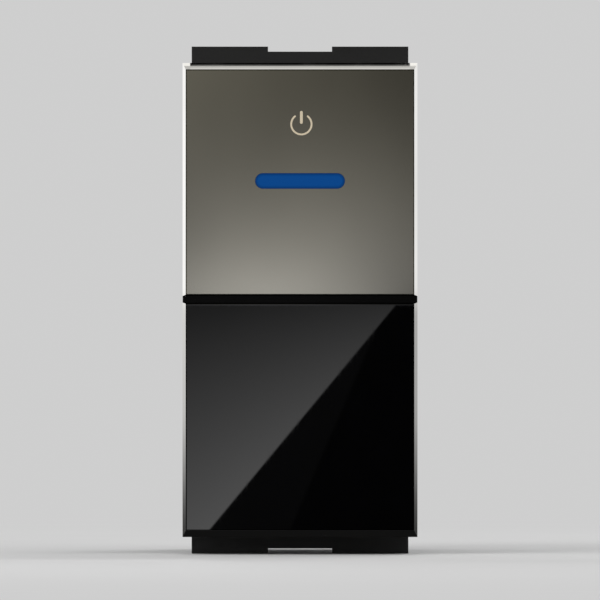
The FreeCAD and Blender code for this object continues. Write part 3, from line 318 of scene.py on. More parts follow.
class Value:
    """A value that may differ from place to place: one output in a node tree. Arithmetic on it
    adds the nodes for the result, and a comparison gives 1 where it holds and 0 elsewhere."""

    def __init__(self, pattern, socket):
        self.pattern, self.socket = pattern, socket
        self.maths = pattern.maths

    __add__ = __radd__ = arithmetic("ADD")
    __sub__, __rsub__ = arithmetic("SUBTRACT"), arithmetic("SUBTRACT", swapped=True)
    __mul__, __truediv__ = arithmetic("MULTIPLY"), arithmetic("DIVIDE")
    __lt__, __gt__ = arithmetic("LESS_THAN"), arithmetic("LESS_THAN", swapped=True)
    __abs__ = arithmetic("ABSOLUTE")

    def grow(self, rate):
        """e to the power of rate times the value."""
        return self.maths("POWER", math.e, self * rate)

    def bell(self, centre, width):
        """e to the power of minus the square of the distance from centre, in widths."""
        share = (self - centre) / width
        return (share * share).grow(-1.0)

    def held(self, limit):
        """The value, but no further from 0 than the limit."""
        return self.maths("MAXIMUM", self.maths("MINIMUM", self, limit), -limit)

    def spread(self, low, high, start=0.3, end=0.7, **kind):
        """The value's range from start to end, spread over low to high."""
        return self.pattern.value("Result", "ShaderNodeMapRange", {
            "Value": self, "From Min": start, "From Max": end, "To Min": low, "To Max": high,
        }, **kind)

    def soft_step(self, start, end):
        """0 below start and 1 above end, with a smooth rise between them."""
        return self.spread(0.0, 1.0, start, end, interpolation_type="SMOOTHSTEP")

    def blend(self, first, second):
        """The first value where this one is 0, the second where it is 1."""
        return self.pattern.value(0, "ShaderNodeMix", {0: self, 2: first, 3: second})

    def mix(self, first, second):
        """The first colour where this value is 0, the second where it is 1."""
        first, second = ((*c, 1) if isinstance(c, tuple) else c for c in (first, second))
        return self.pattern.value(2, "ShaderNodeMix", {0: self, 6: first, 7: second},
                                  data_type="RGBA")


class Pattern:
    """A node tree, with short ways to add to it."""

    def __init__(self, tree):
        self.nodes, self.links = tree.nodes, tree.links
        spots = self.add("ShaderNodeTexCoord").outputs
        self.spot, self.facing = spots["Object"], spots["Normal"]

    def join(self, node, label, setting):
        """Set one input of a node, or link another node's output to it."""
        if isinstance(setting, Value):
            setting = setting.socket
        if isinstance(setting, bpy.types.NodeSocket):
            self.links.new(setting, node.inputs[label])
        else:
            node.inputs[label].default_value = setting

    def add(self, kind, feeds=None, **settings):
        """A new node, with its settings and what feeds its inputs."""
        node = self.nodes.new(kind)
        for word, setting in settings.items():
            setattr(node, word, setting)
        for label, setting in (feeds or {}).items():
            self.join(node, label, setting)
        return node

    def value(self, output, *node, **settings):
        """One output of a new node."""
        return Value(self, self.add(*node, **settings).outputs[output])

    def maths(self, operation, *terms):
        """One step of arithmetic."""
        return self.value(0, "ShaderNodeMath", dict(enumerate(terms)), operation=operation)

    def reach(self, first, second):
        """The length of a slanting line from its two square sides."""
        return self.maths("SQRT", first * first + second * second)

    def axis(self, which, vector=None):
        """One coordinate of a place or direction."""
        return self.value(which, "ShaderNodeSeparateXYZ", {"Vector": vector or self.spot})

    def window(self, x, z, half_width, half_height):
        """1 inside an upright field round a place in the front plane, and 0 elsewhere."""
        return (abs(self.axis("X") - x) < half_width) * (abs(self.axis("Z") - z) < half_height)

    def ends(self, node, long):
        """1 in both ends of a node along Z, of the given length in millimetres."""
        return abs(self.axis("Z") - middle(node)[2]) > extent(node)[2] / 2 - long * MM

    def noise(self, size, detail=3.0, stretch=(1, 1, 1)):
        """Cloudy values from 0 to 1, with clouds of about the given size in millimetres."""
        spot = self.add("ShaderNodeMapping", {"Vector": self.spot, "Scale": stretch})
        return self.value("Fac", "ShaderNodeTexNoise", {
            "Vector": spot.outputs["Vector"], "Scale": 1 / (size * MM), "Detail": detail})


class Surface(Pattern):
    """The pattern of a new material."""

    def __init__(self, name):
        self.material = bpy.data.materials.new(name)
        self.material.use_nodes = True
        super().__init__(self.material.node_tree)
        self.shader = self.nodes["Principled BSDF"]

    def show(self, shader):
        self.join(self.nodes["Material Output"], "Surface", shader.outputs[0])
        return self.material


class Finish(Surface):
    """A surface material: a shader with plain values, and the nodes that vary them."""

    def __init__(self, name, colour, roughness, **plain):
        super().__init__(name)
        self.colour = tuple(colour)
        self.feed(Base_Color=(*colour, 1), Roughness=roughness, **plain)

    def feed(self, **settings):
        """Set or link the shader's inputs, with _ for each space in their names."""
        for label, setting in settings.items():
            self.join(self.shader, label.replace("_", " "), setting)

    def shades(self, share, darker=0.85, lighter=1.15):
        """The finish's own colour, from a darker to a lighter shade."""
        low = tuple(c * darker for c in self.colour)
        high = tuple(min(1.0, c * lighter) for c in self.colour)
        return share.spread(0.0, 1.0).mix(low, high)

    def dress(self, height, depth, strength=1.0, **settings):
        """Raise and sink the surface by the height over a depth in millimetres, feed the
        shader's inputs, and give the material."""
        bump = self.value("Normal", "ShaderNodeBump", {
            "Height": height, "Distance": depth * MM, "Strength": strength})
        self.feed(Normal=bump, **settings)
        return self.material


class Glow(Surface):
    """The material of a sheet that only shines, with a given strength and colour."""

    def shine(self, strength, colour=(*WHITE, 1)):
        self.nodes.remove(self.shader)
        return self.show(self.add("ShaderNodeEmission", {"Strength": strength, "Color": colour}))


def moulded(name, colour, roughness, grain=0.22, depth=0.008, **plain):
    """Moulded plastic: a fine eroded grain, with small differences of shade and gloss."""
    made = Finish(name, colour, roughness, **plain)
    fine, cloud = made.noise(grain, 4.0), made.noise(7, 2.0)
    return made.dress(fine, depth, Base_Color=made.shades((fine + cloud) * 0.5),
                      Roughness=cloud.spread(roughness - 0.07, roughness + 0.07))


def housing_moulding(colour, parting, field):
    """The housing's plastic: an eroded grain, a fine parting line round the sides, and a smoother
    field in the back's recess, given by its half width, half height, rise and depth."""
    made = Finish("housing_moulding", colour, 0.6)
    grain, cloud, y = made.noise(0.3, 4.0), made.noise(7, 2.0), made.axis("Y")
    half_width, half_height, rise, depth = field
    inside = made.window(0.0, rise, half_width, half_height) * (y > depth)
    line = abs(y - parting) < 0.06 * MM
    return made.dress(grain * (1.0 - inside * 0.8) + line * 1.5, 0.012,
                      Base_Color=made.shades((grain + cloud) * 0.5),
                      Roughness=cloud.spread(0.53, 0.67) + inside * -0.22)


def worked_metal(name, colour, roughness, stretch=(1, 1, 1), line=0.06, depth=0.003):
    """Worked metal: fine lines along the stretched axis, with patches that are duller."""
    made = Finish(name, colour, roughness, Metallic=1.0)
    lines, patch = made.noise(line, 2.0, stretch), made.noise(2.2, 2.0)
    dull = (lines * 0.5 + patch * 0.5).spread(roughness - 0.05, roughness + 0.1)
    return made.dress(lines, depth, Base_Color=made.shades(patch, 0.9, 1.08), Roughness=dull)


def ribbed_steel(colour, pitch=0.7):
    """The saddle's steel, with ribs across it that bite on the wire."""
    made = Finish("ribbed_saddle", colour, 0.32, Metallic=1.0)
    half, dull = pitch / 2 * MM, made.noise(0.8)
    rib = made.maths("PINGPONG", made.axis("Y"), half) / half
    return made.dress(rib, 0.12, 0.8, Base_Color=made.shades(dull),
                      Roughness=dull.spread(0.25, 0.45))


def clear_guide(colour):
    """Clear light guide, with very faint flow marks left by the mould."""
    made = Finish("clear_light_guide", colour, 0.08, Transmission_Weight=0.85, IOR=1.49)
    flow = made.noise(5, 2.0, (1, 1, 0.35))
    return made.dress(flow, 0.004, 0.4, Roughness=flow.spread(0.08, 0.12))


def bright_plating(colour):
    """Mirror-bright plating, hazed a little in patches. The narrow ledges that face straight
    forward or back are left bare and dark."""
    made = Finish("bright_plating", colour, 0.04, Metallic=1.0, Specular_IOR_Level=0.12)
    haze = made.noise(3, 3.0, (1, 1, 0.4))
    ledge = abs(made.axis("Y", made.facing)).soft_step(0.965, 0.985)
    return made.dress(haze, 0.002, 0.3, Metallic=1.0 - ledge,
                      Base_Color=ledge.mix(made.shades(haze, 0.96, 1.03), (0.012, 0.012, 0.012)),
                      Roughness=haze.spread(0.02, 0.09) + ledge * 0.4)


def bronze_coating(colour, roughness):
    """Satin metal-effect coating under a clear finish: fine flakes that tilt the shine a little,
    and long soft differences in gloss, as a sprayed film dries."""
    made = Finish("bronze_coating", colour, roughness, Metallic=1.0,
                  Coat_Weight=0.15, Coat_Roughness=0.1)
    flake, cloud = made.noise(0.05, 2.0), made.noise(9, 2.0, (1, 1, 0.6))
    return made.dress(flake, 0.0006, 0.6,
                      Base_Color=made.shades(flake * 0.45 + cloud * 0.55, 0.94, 1.06),
                      Roughness=cloud.spread(roughness - 0.02, roughness + 0.02))


def black_gloss(colour):
    """Deep gloss black: hair-fine wipe marks in the gloss, and a touch of orange peel."""
    made = Finish("black_gloss", colour, 0.02, Specular_IOR_Level=0.5)
    wipe, peel = made.noise(0.35, 3.0, (1, 1, 0.08)), made.noise(3.5, 1.0)
    return made.dress(peel, 0.0004, 0.5, Base_Color=made.shades(peel, 0.8, 1.2),
                      Roughness=wipe.spread(0.02, 0.05, 0.45, 0.75))


def lit_lens(colour, glow, node):
    """Blue light bar: even in the middle, deeper towards its rim, with a frosted skin.
    The distance from the bar's spine sets how deep the blue is."""
    made = Finish("lit_lens", colour, 0.32, Specular_IOR_Level=0.04, Emission_Strength=glow)
    (x, _, z), (long, _, high) = middle(node), extent(node)
    past = made.maths("MAXIMUM", abs(made.axis("X") - x) - (long - high) / 2, 0.0)
    rim = made.reach(past, made.axis("Z") - z).soft_step(high * 0.26, high * 0.5)
    frost, deep = made.noise(0.12), tuple(c * 0.62 for c in colour)
    return made.dress(frost, 0.003, 0.5, Emission_Color=rim.mix(made.colour, deep),
                      Base_Color=rim.mix(made.shades(frost, 0.95, 1.05), deep))


def printed_ink(colour):
    """Screen-printed ink, a little uneven where the mesh of the screen let it through."""
    made = Finish("beige_print", colour, 0.45)
    grain = made.noise(0.06)
    return made.dress(grain, 0.002, Base_Color=made.shades(grain, 0.94, 1.05))


def board_laminate(name, colour, pitch, line):
    """Circuit board: lines of copper under the green mask, running along X in some patches and
    along Z in others, and bare glass laminate on the cut edges."""
    made = Finish(name, colour, 0.32, Specular_IOR_Level=0.5)
    patch = made.noise(4.5, 0.0).soft_step(0.495, 0.505)
    upright, level = (made.maths("FLOORED_MODULO", made.axis(which), pitch * MM) < line * MM
                      for which in "XZ")
    tracks = patch * upright + (1.0 - patch) * level
    lighter = tuple(min(1.0, c * 1.9 + 0.01) for c in colour)
    edge = made.noise(0.3, 2.0, (1, 5, 1)).mix((0.34, 0.33, 0.16), (0.52, 0.5, 0.28))
    face = abs(made.axis("Y", made.facing)).soft_step(0.4, 0.6)
    return made.dress(tracks * face, 0.03, 0.7, Roughness=face.blend(0.75, 0.3),
                      Base_Color=face.mix(edge, tracks.mix(made.colour, lighter)))


def wound_wire(name, colour):
    """Enamelled copper: a clear glossy skin over the metal, with darker and lighter turns."""
    made = Finish(name, colour, 0.28, Metallic=1.0, Coat_Weight=0.6, Coat_Roughness=0.1)
    turns = made.noise(0.4, 1.0, (0.2, 2, 0.2))
    made.feed(Base_Color=made.shades(turns, 0.7, 1.2), Roughness=turns.spread(0.2, 0.4))
    return made.material


def fired_chip(node, cap=0.3):
    """Small chip parts: a fired body between tinned end caps at both ends of its length."""
    made = Finish("fired_chip", (0.42, 0.33, 0.23), 0.55)
    tinned, speck = made.ends(node, cap), made.noise(0.08)
    return made.dress(speck, 0.004, Metallic=tinned, Roughness=tinned.blend(0.6, 0.35),
                      Base_Color=tinned.mix(made.shades(speck), (0.72, 0.72, 0.7)))


def light_chip(node, width=2.8, height=1.4, rim=0.4):
    """Light-emitting chips: a white body with a yellow filled window in each one's front. Two
    stand side by side at the foot of the node's box, and one in the middle of its top."""
    made = Finish("light_chip", (0.82, 0.82, 0.8), 0.4)
    half = np.array((width, 0, height)) / 2 * MM
    low, high = corner(node, 0) + half, corner(node, 1) - half
    spots = (low[0], low[2]), (high[0], low[2]), (middle(node)[0], high[2])
    window = sum(made.window(*spot, half[0] - rim * MM, half[2] - rim / 2 * MM)
                 for spot in spots) * (made.axis("Y") < low[1] + 0.01 * MM)
    cloud = made.noise(0.5, 2.0)
    return made.dress(1.0 - window, 0.03, 0.6, Roughness=window.blend(0.45, 0.2),
                      Base_Color=window.mix(made.shades(cloud, 0.95, 1.02), (0.85, 0.62, 0.12)))


def chip_case(node, inset=0.8, dot=0.3):
    """Moulded epoxy chip: a matt fine grain and a shallow round mark near one corner."""
    made = Finish("touch_chip_case", (0.02, 0.02, 0.02), 0.62)
    grain, (x, _, z) = made.noise(0.09, 4.0), corner(node, 0) + inset * MM
    reach = made.reach(made.axis("X") - x, made.axis("Z") - z)
    dimple = reach.soft_step((dot - 0.04) * MM, (dot + 0.02) * MM)
    return made.dress(grain * 0.08 + dimple, 0.05, Base_Color=made.shades(grain, 0.8, 1.3),
                      Roughness=dimple.blend(0.4, 0.66))


def tinned_feet_chip(node, foot=0.895):
    """A moulded chip whose feet, which reach out past its case along Z, are tinned metal."""
    made = Finish(f"{node}_case", (0.02, 0.02, 0.02), 0.6)
    tinned, grain = made.ends(node, foot), made.noise(0.1, 4.0)
    return made.dress(grain, 0.006, Metallic=tinned, Roughness=tinned.blend(0.62, 0.33),
                      Base_Color=tinned.mix(made.shades(grain, 0.8, 1.3), (0.7, 0.7, 0.68)))


def capacitor_sleeve(colour, node):
    """Shrunk sleeve with one pale stripe down its side, and the bare scored end of the can."""
    made = Finish("capacitor_sleeve", colour, 0.3, Coat_Weight=0.3)
    radius, back, (x, _, z) = extent(node)[0] / 2, corner(node, 1)[1], middle(node)
    dx, dz = made.axis("X") - x, made.axis("Z") - z
    end = (made.reach(dx, dz) < radius - 0.75 * MM) * (made.axis("Y") > back - 0.5 * MM)
    ripple = made.noise(0.8, 2.0, (1, 0.25, 1))
    body = (dx > radius - 0.6 * MM).mix(made.shades(ripple), (0.45, 0.47, 0.5))
    score = made.maths("MINIMUM", abs(dx), abs(dz)) < 0.12 * MM
    can = score.mix((0.7, 0.7, 0.7), (0.35, 0.35, 0.35))
    return made.dress(ripple * 0.15 - score * end, 0.06, 0.6, Base_Color=end.mix(body, can),
                      Metallic=end, Roughness=ripple.spread(0.24, 0.4))


def dipped_coat(colour, wire_end):
    """Dipped coating, pitted as it dried, over wires that are bare below the given depth."""
    made = Finish("dipped_blue", colour, 0.35, Coat_Weight=0.3)
    pit, wire = made.noise(0.35), made.axis("Y") < wire_end
    return made.dress(pit, 0.03, Metallic=wire,
                      Base_Color=wire.mix(made.shades(pit), (0.7, 0.69, 0.66)))


# Sizes, colours and stage values that a user may change


def length(label, text, millimetres):
    return FloatProperty(name=label, description=text, default=millimetres * MM,
                         min=0.0, precision=6, unit="LENGTH")


def tint(label, text, colour):
    return FloatVectorProperty(name=label, description=text, default=colour, size=3,
                               min=0.0, max=1.0, subtype="COLOR")


def level(label, text, amount, unit="NONE"):
    return FloatProperty(name=label, description=text, default=amount, min=0.0, unit=unit)


class SwitchSizes(PropertyGroup):
    """Sizes of the fine pieces."""

    mark_radius: length("Mark radius", "Middle radius of the standby mark's ring", 0.965)
    mark_stroke: length("Mark stroke", "Width of the ring's line", 0.17)
    mark_bar: length("Mark bar", "Width of the upright bar", 0.265)
    mark_offset: length("Mark offset", "How far the mark stands right of the middle", 0.13)
    mark_drop: length("Mark drop", "From the top light's upper edge to the mark's centre", 0.72)
    mark_thickness: length("Mark thickness", "Thickness of the printed mark", 0.012)
    clamp_pitch: length("Clamp thread", "Pitch of the clamp screws' thread", 0.5)
    clamp_thread: length("Clamp thread depth", "Depth of the clamp screws' thread", 0.27)
    clamp_slot: length("Clamp slot", "Width of the clamp screws' slot", 0.6)
    board_pitch: length("Board screw thread", "Pitch of the board screws' thread", 0.6)
    board_thread: length("Board thread depth", "Depth of the board screws' thread", 0.2)
    board_slot: length("Board screw slot", "Width of the board screws' slot", 0.5)
    coil_wire: length("Coil wire", "Thickness of the relay coil's wire", 0.16)
    choke_wire: length("Choke wire", "Thickness of the choke's wire", 0.28)
    lead_wire: length("Lead wire", "Radius of the wires of the parts on the board", 0.34)
    solder_fillet: length("Solder fillet", "How far solder spreads round a lead", 0.37)


class SwitchColours(PropertyGroup):
    """Colours of the finishes."""

    bronze: tint("Bronze", "Satin coating of the upper plate", (0.385, 0.375, 0.316))
    gloss_black: tint("Gloss black", "Lower plate", (0.0006, 0.0006, 0.0008))
    bar_black: tint("Bar", "Bar between the plates", (0.0012, 0.0012, 0.0012))
    light_blue: tint("Light bar", "Light bar of the upper plate", (0.0022, 0.052, 0.215))
    mark_beige: tint("Mark", "Printed standby mark", (0.76, 0.65, 0.47))
    bright: tint("Bezel", "Bright plating of the bezel", (0.95, 0.94, 0.915))
    carrier: tint("Carrier", "Carrier between bezel and housing", (0.009, 0.009, 0.009))
    housing: tint("Housing", "Rear housing and latches", (0.035, 0.036, 0.037))
    mask: tint("Board", "Mask of the circuit boards", (0.012, 0.09, 0.035))
    brass: tint("Brass", "Terminal cages and strips", (0.72, 0.53, 0.25))
    steel: tint("Steel", "Screws and saddles", (0.56, 0.56, 0.57))
    copper: tint("Copper", "Enamelled windings", (0.66, 0.26, 0.11))


class SwitchStage(PropertyGroup):
    """Stage, lamps and camera."""

    distance: length("Distance", "From the lens to the front face", 1600.0)
    field: length("Field", "Width that the image takes in at the front face", 56.94)
    floor_drop: length("Floor", "How far the floor lies below the lowest edge", 0.02)
    card_gap: length("Card", "From the front face to the card that it mirrors", 30.0)
    pale: level("Pale", "Brightness of the background", 0.62)
    ambient: level("Ambient", "Brightness of the light from all round", 0.55)
    key: level("Key lamp", "Power of the lamp at the upper left", 1.1, "POWER")


def sizes():
    return bpy.context.scene.switch_sizes


def colours():
    return bpy.context.scene.switch_colours


# Pieces


class SwitchFront(Operator):
    """Finish the bezel, plates, bar, light bar and what lies just behind them."""

    bl_idname = "switch.front"
    bl_label = "Front"

    def execute(self, context):
        paint = colours()
        wear("polished_bezel", bright_plating(paint.bright))
        wear("upper_touch_plate", bronze_coating(paint.bronze, 0.14))
        wear("lower_touch_plate", black_gloss(paint.gloss_black))
        wear("divider_bar", moulded("bar_black", paint.bar_black, 0.45, 0.1, 0.002,
                                    Specular_IOR_Level=0.06))
        wear("indicator_lens", lit_lens(paint.light_blue, 0.35, "indicator_lens"))
        film = moulded("bonding_film", (0.03, 0.03, 0.03), 0.8, 0.3, 0.02)
        wire = worked_metal("spring_wire", (0.62, 0.61, 0.58), 0.25, (1, 8, 1), 0.05, 0.001)
        for half in ("upper", "lower"):
            wear(f"{half}_plate_adhesive", film)
            wear(f"{half}_touch_spring", wire)
        wear("light_guide", clear_guide((0.9, 0.93, 0.95)))
        wear("light_shield", moulded("shield_moulding", (0.8, 0.8, 0.78), 0.5, 0.15, 0.006))
        wear("indicator_leds", light_chip("indicator_leds"))
        return {"FINISHED"}


class SwitchMark(Operator):
    """Print the standby mark, a ring that is open at the top with an upright bar in the gap."""

    bl_idname = "switch.mark"
    bl_label = "Standby mark"

    def execute(self, context):
        size = sizes()
        face = corner("upper_touch_plate", 0)[1]
        across = size.mark_offset
        rise = corner("indicator_leds", 1)[2] - size.mark_drop
        opening = math.radians(34)
        turn = np.linspace(np.pi / 2 + opening, 5 * np.pi / 2 - opening, 120)
        ring = np.stack([across + size.mark_radius * np.cos(turn),
                         rise + size.mark_radius * np.sin(turn)], axis=-1)
        bar_foot, bar_top = 0.04 * MM, size.mark_radius + 0.3 * MM
        up = rise + np.linspace(bar_foot, bar_top, 20)
        bar = np.stack([np.full(len(up), across), up], axis=-1)
        depths = face - size.mark_thickness, face
        mark = together([rounded_bar(ring, size.mark_stroke / 2, *depths),
                         rounded_bar(bar, size.mark_bar / 2, *depths)])
        new_piece("standby_mark", mark, printed_ink(colours().mark_beige))
        return {"FINISHED"}


class SwitchShells(Operator):
    """Finish the carrier, the rear housing and its latches."""

    bl_idname = "switch.shells"
    bl_label = "Carrier and housing"

    def execute(self, context):
        paint = colours()
        wear("front_carrier", moulded("carrier_moulding", paint.carrier, 0.55,
                                      Specular_IOR_Level=0.3))
        back = corner("rear_housing", 1)[1]
        field_half_width, field_half_height, field_rise = 6.5 * MM, 4.5 * MM, 6.0 * MM
        field = field_half_width, field_half_height, field_rise, back - 0.35 * MM
        wear("rear_housing", housing_moulding(paint.housing, back * 0.36, field))
        latch = moulded("latch_moulding", paint.housing, 0.5, 0.18, 0.006)
        wear("top_latch", latch)
        wear("bottom_latch", latch)
        return {"FINISHED"}


def clamp_screw(side, metal):
    """A threaded clamp screw in place of its plain node. The slotted end points down, and the
    other end narrows to a blunt point."""
    size, node = sizes(), f"clamp_screw_{side}"
    low, long = corner(node, 0), extent(node)[2]
    radius = extent(node)[0] / 2
    face_radius, lead_in, tip = radius * 0.93, 0.12 * MM, 0.15 * MM
    slot_depth, thread_start = 0.7 * MM, 0.75 * MM
    depth = np.arange(lead_in, long - tip, size.clamp_pitch / 8)
    profile = [(d, radius) for d in depth]
    profile += [(long - 0.1 * MM, radius * 0.85), (long, radius * 0.55), (long, 0.0)]
    slot = size.clamp_slot, slot_depth
    thread = size.clamp_pitch, size.clamp_thread, thread_start, long
    surface = slotted_screw((*middle(node)[:2], low[2]), UP, face_radius, slot, profile, thread)
    new_piece(f"threaded_clamp_screw_{side}", surface, metal, f"screw_{side}", 35, node)


class SwitchTerminals(Operator):
    """Finish the cages, saddles and strips, and cut thread and slot into the clamp screws."""

    bl_idname = "switch.terminals"
    bl_label = "Terminals"

    def execute(self, context):
        paint = colours()
        brass = worked_metal("folded_brass", paint.brass, 0.3, (1, 0.06, 1))
        saddle = ribbed_steel(paint.steel)
        steel = worked_metal("zinc_steel", paint.steel, 0.3)
        for side in SIDES:
            wear(f"terminal_cage_{side}", brass)
            wear(f"terminal_strip_{side}", brass)
            wear(f"clamp_saddle_{side}", saddle)
            clamp_screw(side, steel)
        return {"FINISHED"}


def board_screw(x, z, front, back):
    """A pan-head screw: the profile rounds the head over, steps in to the shank at the board
    and ends in a point."""
    size = sizes()
    head, head_radius, shank_radius = 0.9 * MM, 1.5 * MM, 0.8 * MM
    face_radius, slot_depth, thread_start = head_radius - 0.35 * MM, 0.4 * MM, head + 0.2 * MM
    long = back - front
    profile = [(0.08 * MM, head_radius - 0.2 * MM), (0.25 * MM, head_radius - 0.07 * MM),
               (0.5 * MM, head_radius), (head, head_radius)]
    profile += [(d, shank_radius) for d in np.arange(head, long - 0.5 * MM, size.board_pitch / 8)]
    profile += [(long - 0.3 * MM, shank_radius * 0.6), (long, 0.0)]
    slot = size.board_slot, slot_depth
    thread = size.board_pitch, size.board_thread, thread_start, long
    return slotted_screw((x, front, z), BACK, face_radius, slot, profile, thread)


class SwitchTouchBoard(Operator):
    """Finish the touch board and its parts, and make its two screws with thread and slot."""

    bl_idname = "switch.touch_board"
    bl_label = "Touch board"

    def execute(self, context):
        paint = colours()
        wear("touch_board", board_laminate("touch_board_mask", paint.mask, 0.9, 0.28))
        wear("touch_chip", chip_case("touch_chip"))
        wear("touch_board_parts", fired_chip("touch_board_parts"))
        plug = moulded("plug_black", (0.02, 0.02, 0.02), 0.5, 0.12, 0.005)
        wear("board_header", plug)
        wear("board_socket", plug)
        node = "touch_board_screws"
        low, high = corner(node, 0), corner(node, 1)
        inset = 1.5 * MM
        screws = [board_screw(x, z, low[1], high[1])
                  for x, z in (low[[0, 2]] + inset, high[[0, 2]] - inset)]
        steel = worked_metal("screw_steel", paint.steel, 0.28)
        new_piece("threaded_board_screws", together(screws), steel, angle=35,
                  instead=node)
        return {"FINISHED"}


def straight_wires(x, z, apart, foot, back):
    """Two wires, side by side, from the foot to the back."""
    return [tube([(x + side * apart / 2, y, z) for y in np.linspace(foot, back, 4)],
                 sizes().lead_wire) for side in (-1, 1)]


def sleeved_capacitor():
    """A can in a shrunk sleeve: the profile runs up the foot, round the bead, up the side, over
    the sleeve's curled rim and down to the bare end. Two wires stand in its foot."""
    node = "bulk_capacitor"
    foot, back, board = corner(node, 0)[1], corner(node, 1)[1], corner("power_board", 1)[1]
    x, z, radius = middle(node)[0], middle(node)[2], extent(node)[0] / 2
    curl, bead_rise, lead_gap = 0.35 * MM, 0.7 * MM, 3.0 * MM
    turn = np.linspace(0, np.pi, 9)
    bead = np.stack([radius - curl * np.sin(turn), board + bead_rise * (1 + turn / np.pi)], -1)
    rim = np.stack([radius - curl + curl * np.cos(turn), back - curl + curl * np.sin(turn)], -1)
    profile = [(0.0, board), (radius - 0.2 * MM, board), (radius, board + 0.2 * MM), *bead, *rim,
               (radius - 2 * curl, back - curl), (0.0, back - curl)]
    parts = [turned(profile, (x, 0, z), BACK), *straight_wires(x, z, lead_gap, foot, board)]
    sleeve = capacitor_sleeve((0.012, 0.018, 0.05), node)
    new_piece("sleeved_capacitor", together(parts), sleeve, angle=50,
              instead=node)


def dipped_varistor():
    """A dipped disc: the half thickness at share r of the radius is t * (1 - r^4)^(1/3), and a
    slim run of coating goes down each wire."""
    node = "varistor"
    foot, back, board = corner(node, 0)[1], corner(node, 1)[1], corner("power_board", 1)[1]
    x, z = middle(node)[0], middle(node)[2]
    radius, half, lead_gap = extent(node)[0] / 2, extent(node)[2] / 2, 5.0 * MM
    share = np.sin(np.linspace(0, np.pi / 2, 20))
    bulge = half * (1 - share ** 4) ** (1 / 3)
    profile = [*zip(share * radius, bulge), *zip(share[::-1] * radius, -bulge[::-1])]
    centre = back - radius
    parts = [turned(profile, (x, centre, z), UP), *straight_wires(x, z, lead_gap, foot, centre)]
    coat = dipped_coat((0.03, 0.1, 0.32), board + 0.55 * MM)
    new_piece("dipped_varistor", together(parts), coat, angle=50, instead=node)


def choke_winding():
    """Wire wound on the drum's waist, between its two rims."""
    node = "choke"
    board, back = corner("power_board", 1)[1], corner(node, 1)[1]
    rim, bore, outer = 1.03 * MM, 1.82 * MM, 2.36 * MM
    surface = wound(node, bore, outer, board + rim, back - rim, sizes().choke_wire)
    new_piece("choke_winding", surface, wound_wire("choke_copper", colours().copper),
              angle=60)


def solder_joints():
    """One joint round each lead that comes through the power board."""
    foot, rise = corner("power_board", 0)[1], 0.27 * MM
    nodes = ["film_capacitor", "bulk_capacitor", "varistor", "fuse", "choke", "relay_pins"]
    nodes += [f"terminal_strip_{side}" for side in SIDES]
    cones = [solder_cone(tip, half, foot, rise, sizes().solder_fillet)
             for node in nodes for tip, half in lead_ends(node)]
    solder = worked_metal("solder", (0.66, 0.66, 0.65), 0.25, line=0.3)
    new_piece("solder_joints", together(cones), solder, angle=60)


class SwitchPowerBoard(Operator):
    """Finish the power board and its parts, and make the round ones as turned surfaces."""

    bl_idname = "switch.power_board"
    bl_label = "Power board"

    def execute(self, context):
        wear("power_board", board_laminate("power_board_mask", colours().mask, 1.6, 0.6))
        wear("film_capacitor", moulded("capacitor_yellow", (0.66, 0.42, 0.04), 0.35, 0.5, 0.006))
        wear("fuse", moulded("fuse_black", (0.03, 0.03, 0.03), 0.45, 0.2, 0.006))
        wear("choke", moulded("ferrite_grey", (0.06, 0.058, 0.055), 0.7, 0.15, 0.02))
        wear("bridge_rectifier", tinned_feet_chip("bridge_rectifier"))
        wear("regulator", tinned_feet_chip("regulator"))
        solder_joints()
        sleeved_capacitor()
        dipped_varistor()
        choke_winding()
        return {"FINISHED"}


class SwitchRelay(Operator):
    """Finish the relay's case, magnet and contacts, and wind its coil turn by turn."""

    bl_idname = "switch.relay"
    bl_label = "Relay"

    def execute(self, context):
        black = moulded("relay_moulding", (0.018, 0.018, 0.02), 0.42, 0.25, 0.005)
        iron = worked_metal("worked_iron", (0.5, 0.5, 0.5), 0.38, (1, 0.1, 1))
        alloy = worked_metal("drawn_alloy", (0.68, 0.5, 0.32), 0.3, (1, 0.1, 1), 0.04, 0.002)
        leaf = worked_metal("spring_leaf", (0.6, 0.59, 0.56), 0.28)
        white = moulded("bobbin_moulding", (0.72, 0.7, 0.64), 0.5, 0.2, 0.006)
        finishes = {"cover": black, "base": black, "bobbin": white, "yoke": iron, "core": iron,
                    "armature": iron, "pins": alloy, "moving_contact": alloy,
                    "fixed_contact": alloy, "return_spring": leaf}
        for word, finish in finishes.items():
            wear(f"relay_{word}", finish)
        node = "relay_coil"
        bore, front, back = 1.71 * MM, corner(node, 0)[1], corner(node, 1)[1]
        surface = wound(node, bore, extent(node)[0] / 2, front, back, sizes().coil_wire)
        new_piece("wound_relay_coil", surface, wound_wire("coil_copper", colours().copper),
                  angle=60, instead=node)
        return {"FINISHED"}


# Stage


def sheet(name, low, high, material, **sight):
    """A flat stage sheet between two corners that share one coordinate, seen by the kinds of
    ray that are named True and not by those named False."""
    corners = np.array([low, low, high, high], float)
    flat = int(np.argmin(np.ptp(corners, axis=0)))
    across = (flat + 1) % 3
    corners[:, across] = corners[[0, 2, 2, 0], across]
    mesh = bpy.data.meshes.new(name)
    mesh.from_pydata(corners.tolist(), [], [(0, 1, 2, 3)])
    mesh.materials.append(material)
    made = new_object(name, mesh)
    for kind, seen in sight.items():
        setattr(made, f"visible_{kind}", seen)


MIRRORED_ONLY = {"camera": False, "diffuse": False, "transmission": False,
                 "volume_scatter": False, "shadow": False, "glossy": True}


